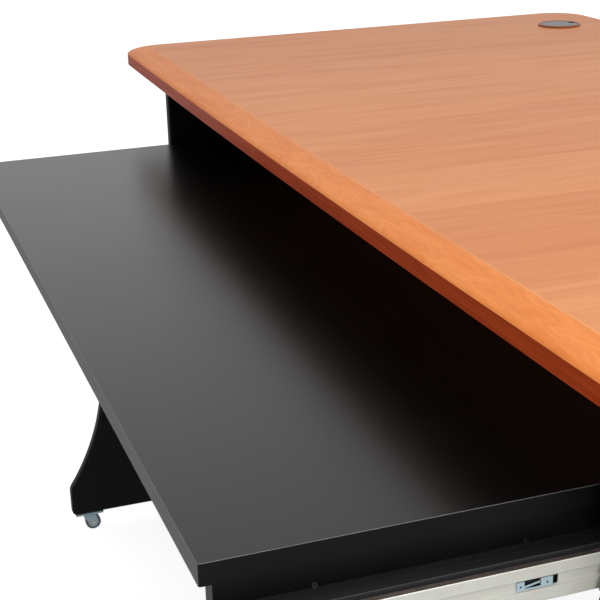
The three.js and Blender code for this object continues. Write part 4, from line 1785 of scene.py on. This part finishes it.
@dataclass
class Casters(DeskPart):
    """The four casters: plate, fork, axle and wheel."""

    edge_mm: float = 0.3
    wheel_shoulder_mm: float = 1.8
    tyre_mm: float = 3.4
    recess_mm: float = 1.9
    hub_radius_mm: float = 4.4
    bore_radius_mm: float = 2.3
    hub_recess_mm: float = 0.2
    centre_margin_mm: float = 0.1
    plate_mm: float = 2.5
    screw_radius_mm: float = 3.0
    screw_setback_mm: float = 5.0
    rivet_head_mm: float = 0.8
    rivet_shank_mm: float = 2.0
    rivet_crown_share: float = 0.6
    rivet_sides: int = 32
    wheel_sides: int = 64
    shoulder_steps: int = 6

    def build(self) -> None:
        """Build the four casters."""
        for place in CASTER_PLACES:
            self.build_plate(place)
            self.build_fork(place)
            self.build_wheel(place)

    def build_plate(self, place: str) -> None:
        """The plate under the foot and its two screws."""
        node = f"caster_plate_{place}"
        plate = smooth_copy(f"caster_plate_pressed_{place}", node, self.edge_mm, self.finishes.blue_zinc)
        settle(plate, "frame", "blue_zinc", node)
        low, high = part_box(node)
        bottom = high.z - self.plate_mm * MM
        setback = self.screw_setback_mm * MM
        place_x = (low.x + high.x) / 2
        points = [Vector((place_x, place_y, bottom)) for place_y in (low.y + setback, high.y - setback)]
        self.hardware.add(
            f"caster_screws_{place}", self.hardware.flat_head, points, (0.0, 0.0, -1.0),
            self.screw_radius_mm, self.finishes.zinc, "frame", "zinc_steel",
        )

    def build_fork(self, place: str) -> None:
        """The pressed fork and the riveted axle."""
        body = f"fork_{place}"
        node = f"caster_fork_{place}"
        fork = smooth_copy(
            f"caster_fork_pressed_{place}", node, self.edge_mm, self.finishes.blue_zinc, steps=3
        )
        settle(fork, body, "blue_zinc", node)
        node = f"caster_axle_{place}"
        low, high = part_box(node)
        half = (high.x - low.x) / 2
        radius = (high.z - low.z) / 2
        head = self.rivet_head_mm * MM
        share = self.rivet_crown_share
        inner = half - head
        section = [
            (0.0, -half), (radius * share, -half), (radius, -half + head * share),
            (radius, -inner), (self.rivet_shank_mm * MM, -inner),
        ]
        section += [(across, -along) for across, along in reversed(section)]
        axle = as_object(
            f"caster_rivet_{place}", turned(section, Axis.X, middle(node), self.rivet_sides),
            self.finishes.zinc,
        )
        soften(axle, 0.0)
        settle(axle, body, "zinc_steel", node)

    def build_wheel(self, place: str) -> None:
        """The wheel with its tyre and dished centre."""
        node = f"caster_wheel_{place}"
        low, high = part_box(node)
        centre = middle(node)
        radius = (high.z - low.z) / 2
        half = (high.x - low.x) / 2
        shoulder = self.wheel_shoulder_mm * MM
        rim = radius - self.tyre_mm * MM
        web = half - self.recess_mm * MM
        hub = self.hub_radius_mm * MM
        hub_end = half - self.hub_recess_mm * MM
        upper = [(self.bore_radius_mm * MM, hub_end), (hub, hub_end), (hub, web), (rim, web), (rim, half)]
        upper += arc(
            (radius - shoulder, half - shoulder), shoulder, QUARTER_TURN, 0.0, self.shoulder_steps
        )
        section = upper + [(across, -along) for across, along in reversed(upper)]
        wheel = as_object(
            f"caster_wheel_tyred_{place}", turned(section, Axis.X, centre, self.wheel_sides),
            self.finishes.tyre, self.finishes.wheel_centre,
        )
        soften(wheel, 0.0)

        def in_centre(face: bpy.types.MeshPolygon) -> bool:
            """Whether a face lies inside the tyre."""
            offset = face.center - centre
            return math.hypot(offset.y, offset.z) < rim + self.centre_margin_mm * MM

        paint_faces(wheel, 1, in_centre)
        settle(wheel, f"wheel_{place}", "grey_tyre", node)


# The setting


@dataclass
class Setting:
    """The floor, the light and the camera of the photograph."""

    camera_place: Place = (1.3428, -0.7126, 1.0808)
    yaw: float = math.radians(18.8706)
    pitch: float = math.radians(19.8085)
    roll: float = math.radians(1.5757)
    focal_px: float = 1381.52
    frame_px: float = 600.0
    sensor_mm: float = 36.0
    bright_side: Place = (0.5, 0.2, 0.84)
    dark_strength: float = 0.04
    bright_strength: float = 0.6
    dome_window: Pair = (-0.4, 0.9)
    white: str = "#ffffff"
    floor_light: str = "#5c5c5c"
    floor_seen: str = "#d8d8d8"
    floor_strength: float = 0.82
    floor_half_m: float = 40.0
    lamps: tuple[tuple[str, float, float, Place], ...] = (
        ("overhead_softbox", 27.0, 2.0, (1.5, -0.3, 2.3)),
        ("side_softbox", 40.0, 1.0, (3.5, -0.6, 0.9)),
    )
    lamp_target: Place = (0.3, -0.2, 0.4)

    def build(self) -> None:
        """Build the setting."""
        self.build_floor()
        self.build_world()
        self.build_lamps()
        self.build_camera()
        bpy.context.scene.view_settings.view_transform = "Standard"

    def show(
        self, tree: bpy.types.NodeTree, output: str, given: bpy.types.Node, shown: bpy.types.Node
    ) -> None:
        """Let one shader light the desk and another be seen, straight, in a gloss or through glass.

        Args:
            tree: The floor's or the world's tree.
            output: The kind of its output node.
            given: The shader that gives light.
            shown: The shader that is seen.
        """
        path = add_node(tree, "ShaderNodeLightPath")
        straight = path.outputs["Is Camera Ray"]
        either = calculate(tree, "MAXIMUM", straight, path.outputs["Is Glossy Ray"])
        seen = calculate(tree, "MAXIMUM", either, path.outputs["Is Transmission Ray"])
        inputs = {0: seen, 1: given.outputs[0], 2: shown.outputs[0]}
        both = add_node(tree, "ShaderNodeMixShader", inputs=inputs)
        add_node(tree, output, inputs={"Surface": both.outputs["Shader"]})

    def build_floor(self) -> None:
        """A floor that looks like a white sweep with the desk's shadow and throws little light back."""
        material = bpy.data.materials.new("white_sweep")
        material.use_nodes = True
        tree = material.node_tree
        tree.nodes.clear()
        matt = add_node(tree, "ShaderNodeBsdfDiffuse", inputs={"Color": linear(self.floor_light)})
        pale = add_node(tree, "ShaderNodeBsdfDiffuse", inputs={"Color": linear(self.floor_seen)})
        inputs = {"Color": linear(self.white), "Strength": self.floor_strength}
        glow = add_node(tree, "ShaderNodeEmission", inputs=inputs)
        inputs = {0: pale.outputs["BSDF"], 1: glow.outputs["Emission"]}
        sweep = add_node(tree, "ShaderNodeAddShader", inputs=inputs)
        self.show(tree, "ShaderNodeOutputMaterial", matt, sweep)
        mesh = bmesh.new()
        bmesh.ops.create_grid(mesh, x_segments=1, y_segments=1, size=self.floor_half_m)
        floor = as_object("floor", mesh, material)

    def build_world(self) -> None:
        """A dome that is bright above the right end and dark in front, and white where it is seen."""
        world = bpy.data.worlds.new("studio")
        bpy.context.scene.world = world
        world.use_nodes = True
        tree = world.node_tree
        tree.nodes.clear()
        place = add_node(tree, "ShaderNodeTexCoord")
        facing = add_node(
            tree, "ShaderNodeVectorMath", {"operation": "DOT_PRODUCT"},
            {0: place.outputs["Generated"], 1: self.bright_side},
        )
        range_of_light = (self.dark_strength, self.bright_strength)
        strength = spread(tree, facing.outputs["Value"], self.dome_window, range_of_light)
        dome, sheet = (
            add_node(tree, "ShaderNodeBackground", inputs={"Color": linear(self.white), "Strength": value})
            for value in (strength, 1.0)
        )
        self.show(tree, "ShaderNodeOutputWorld", dome, sheet)

    def build_lamps(self) -> None:
        """A wide soft lamp overhead and a low one beyond the right end, both kept out of reflections."""
        for name, watts, size, place in self.lamps:
            lamp = bpy.data.lights.new(name, "AREA")
            lamp.shape = "SQUARE"
            lamp.size = size
            lamp.energy = watts
            softbox = bpy.data.objects.new(name, lamp)
            softbox.location = place
            aim = Vector(self.lamp_target) - Vector(place)
            softbox.rotation_euler = aim.to_track_quat("-Z", "Y").to_euler()
            softbox.visible_glossy = False
            softbox.visible_camera = False
            bpy.context.scene.collection.objects.link(softbox)

    def build_camera(self) -> None:
        """The camera at the photograph's viewing angle."""
        forward = Vector((
            -math.cos(self.yaw) * math.cos(self.pitch),
            math.sin(self.yaw) * math.cos(self.pitch),
            -math.sin(self.pitch),
        ))
        right = forward.cross(Vector((0.0, 0.0, 1.0))).normalized()
        down = forward.cross(right)
        rolled_right = right * math.cos(self.roll) + down * math.sin(self.roll)
        rolled_down = down * math.cos(self.roll) - right * math.sin(self.roll)
        data = bpy.data.cameras.new("camera")
        data.sensor_width = self.sensor_mm
        data.lens = self.focal_px / self.frame_px * self.sensor_mm
        camera = bpy.data.objects.new("camera", data)
        turn = Matrix((rolled_right, -rolled_down, -forward)).transposed()
        camera.matrix_world = Matrix.Translation(Vector(self.camera_place)) @ turn.to_4x4()
        bpy.context.scene.collection.objects.link(camera)
        bpy.context.scene.camera = camera


def main() -> None:
    """Build the setting, then the desk in order."""
    logging.basicConfig(level=logging.INFO, format="%(message)s")
    finishes = Finishes()
    hardware = Hardware(Repeats())
    Setting().build()
    for part in (Desktop, SidePanels, Rails, KeyboardShelf, BallSlides, Casters):
        part(finishes, hardware).build()
    hardware.clear()


if __name__ == "__main__":
    main()
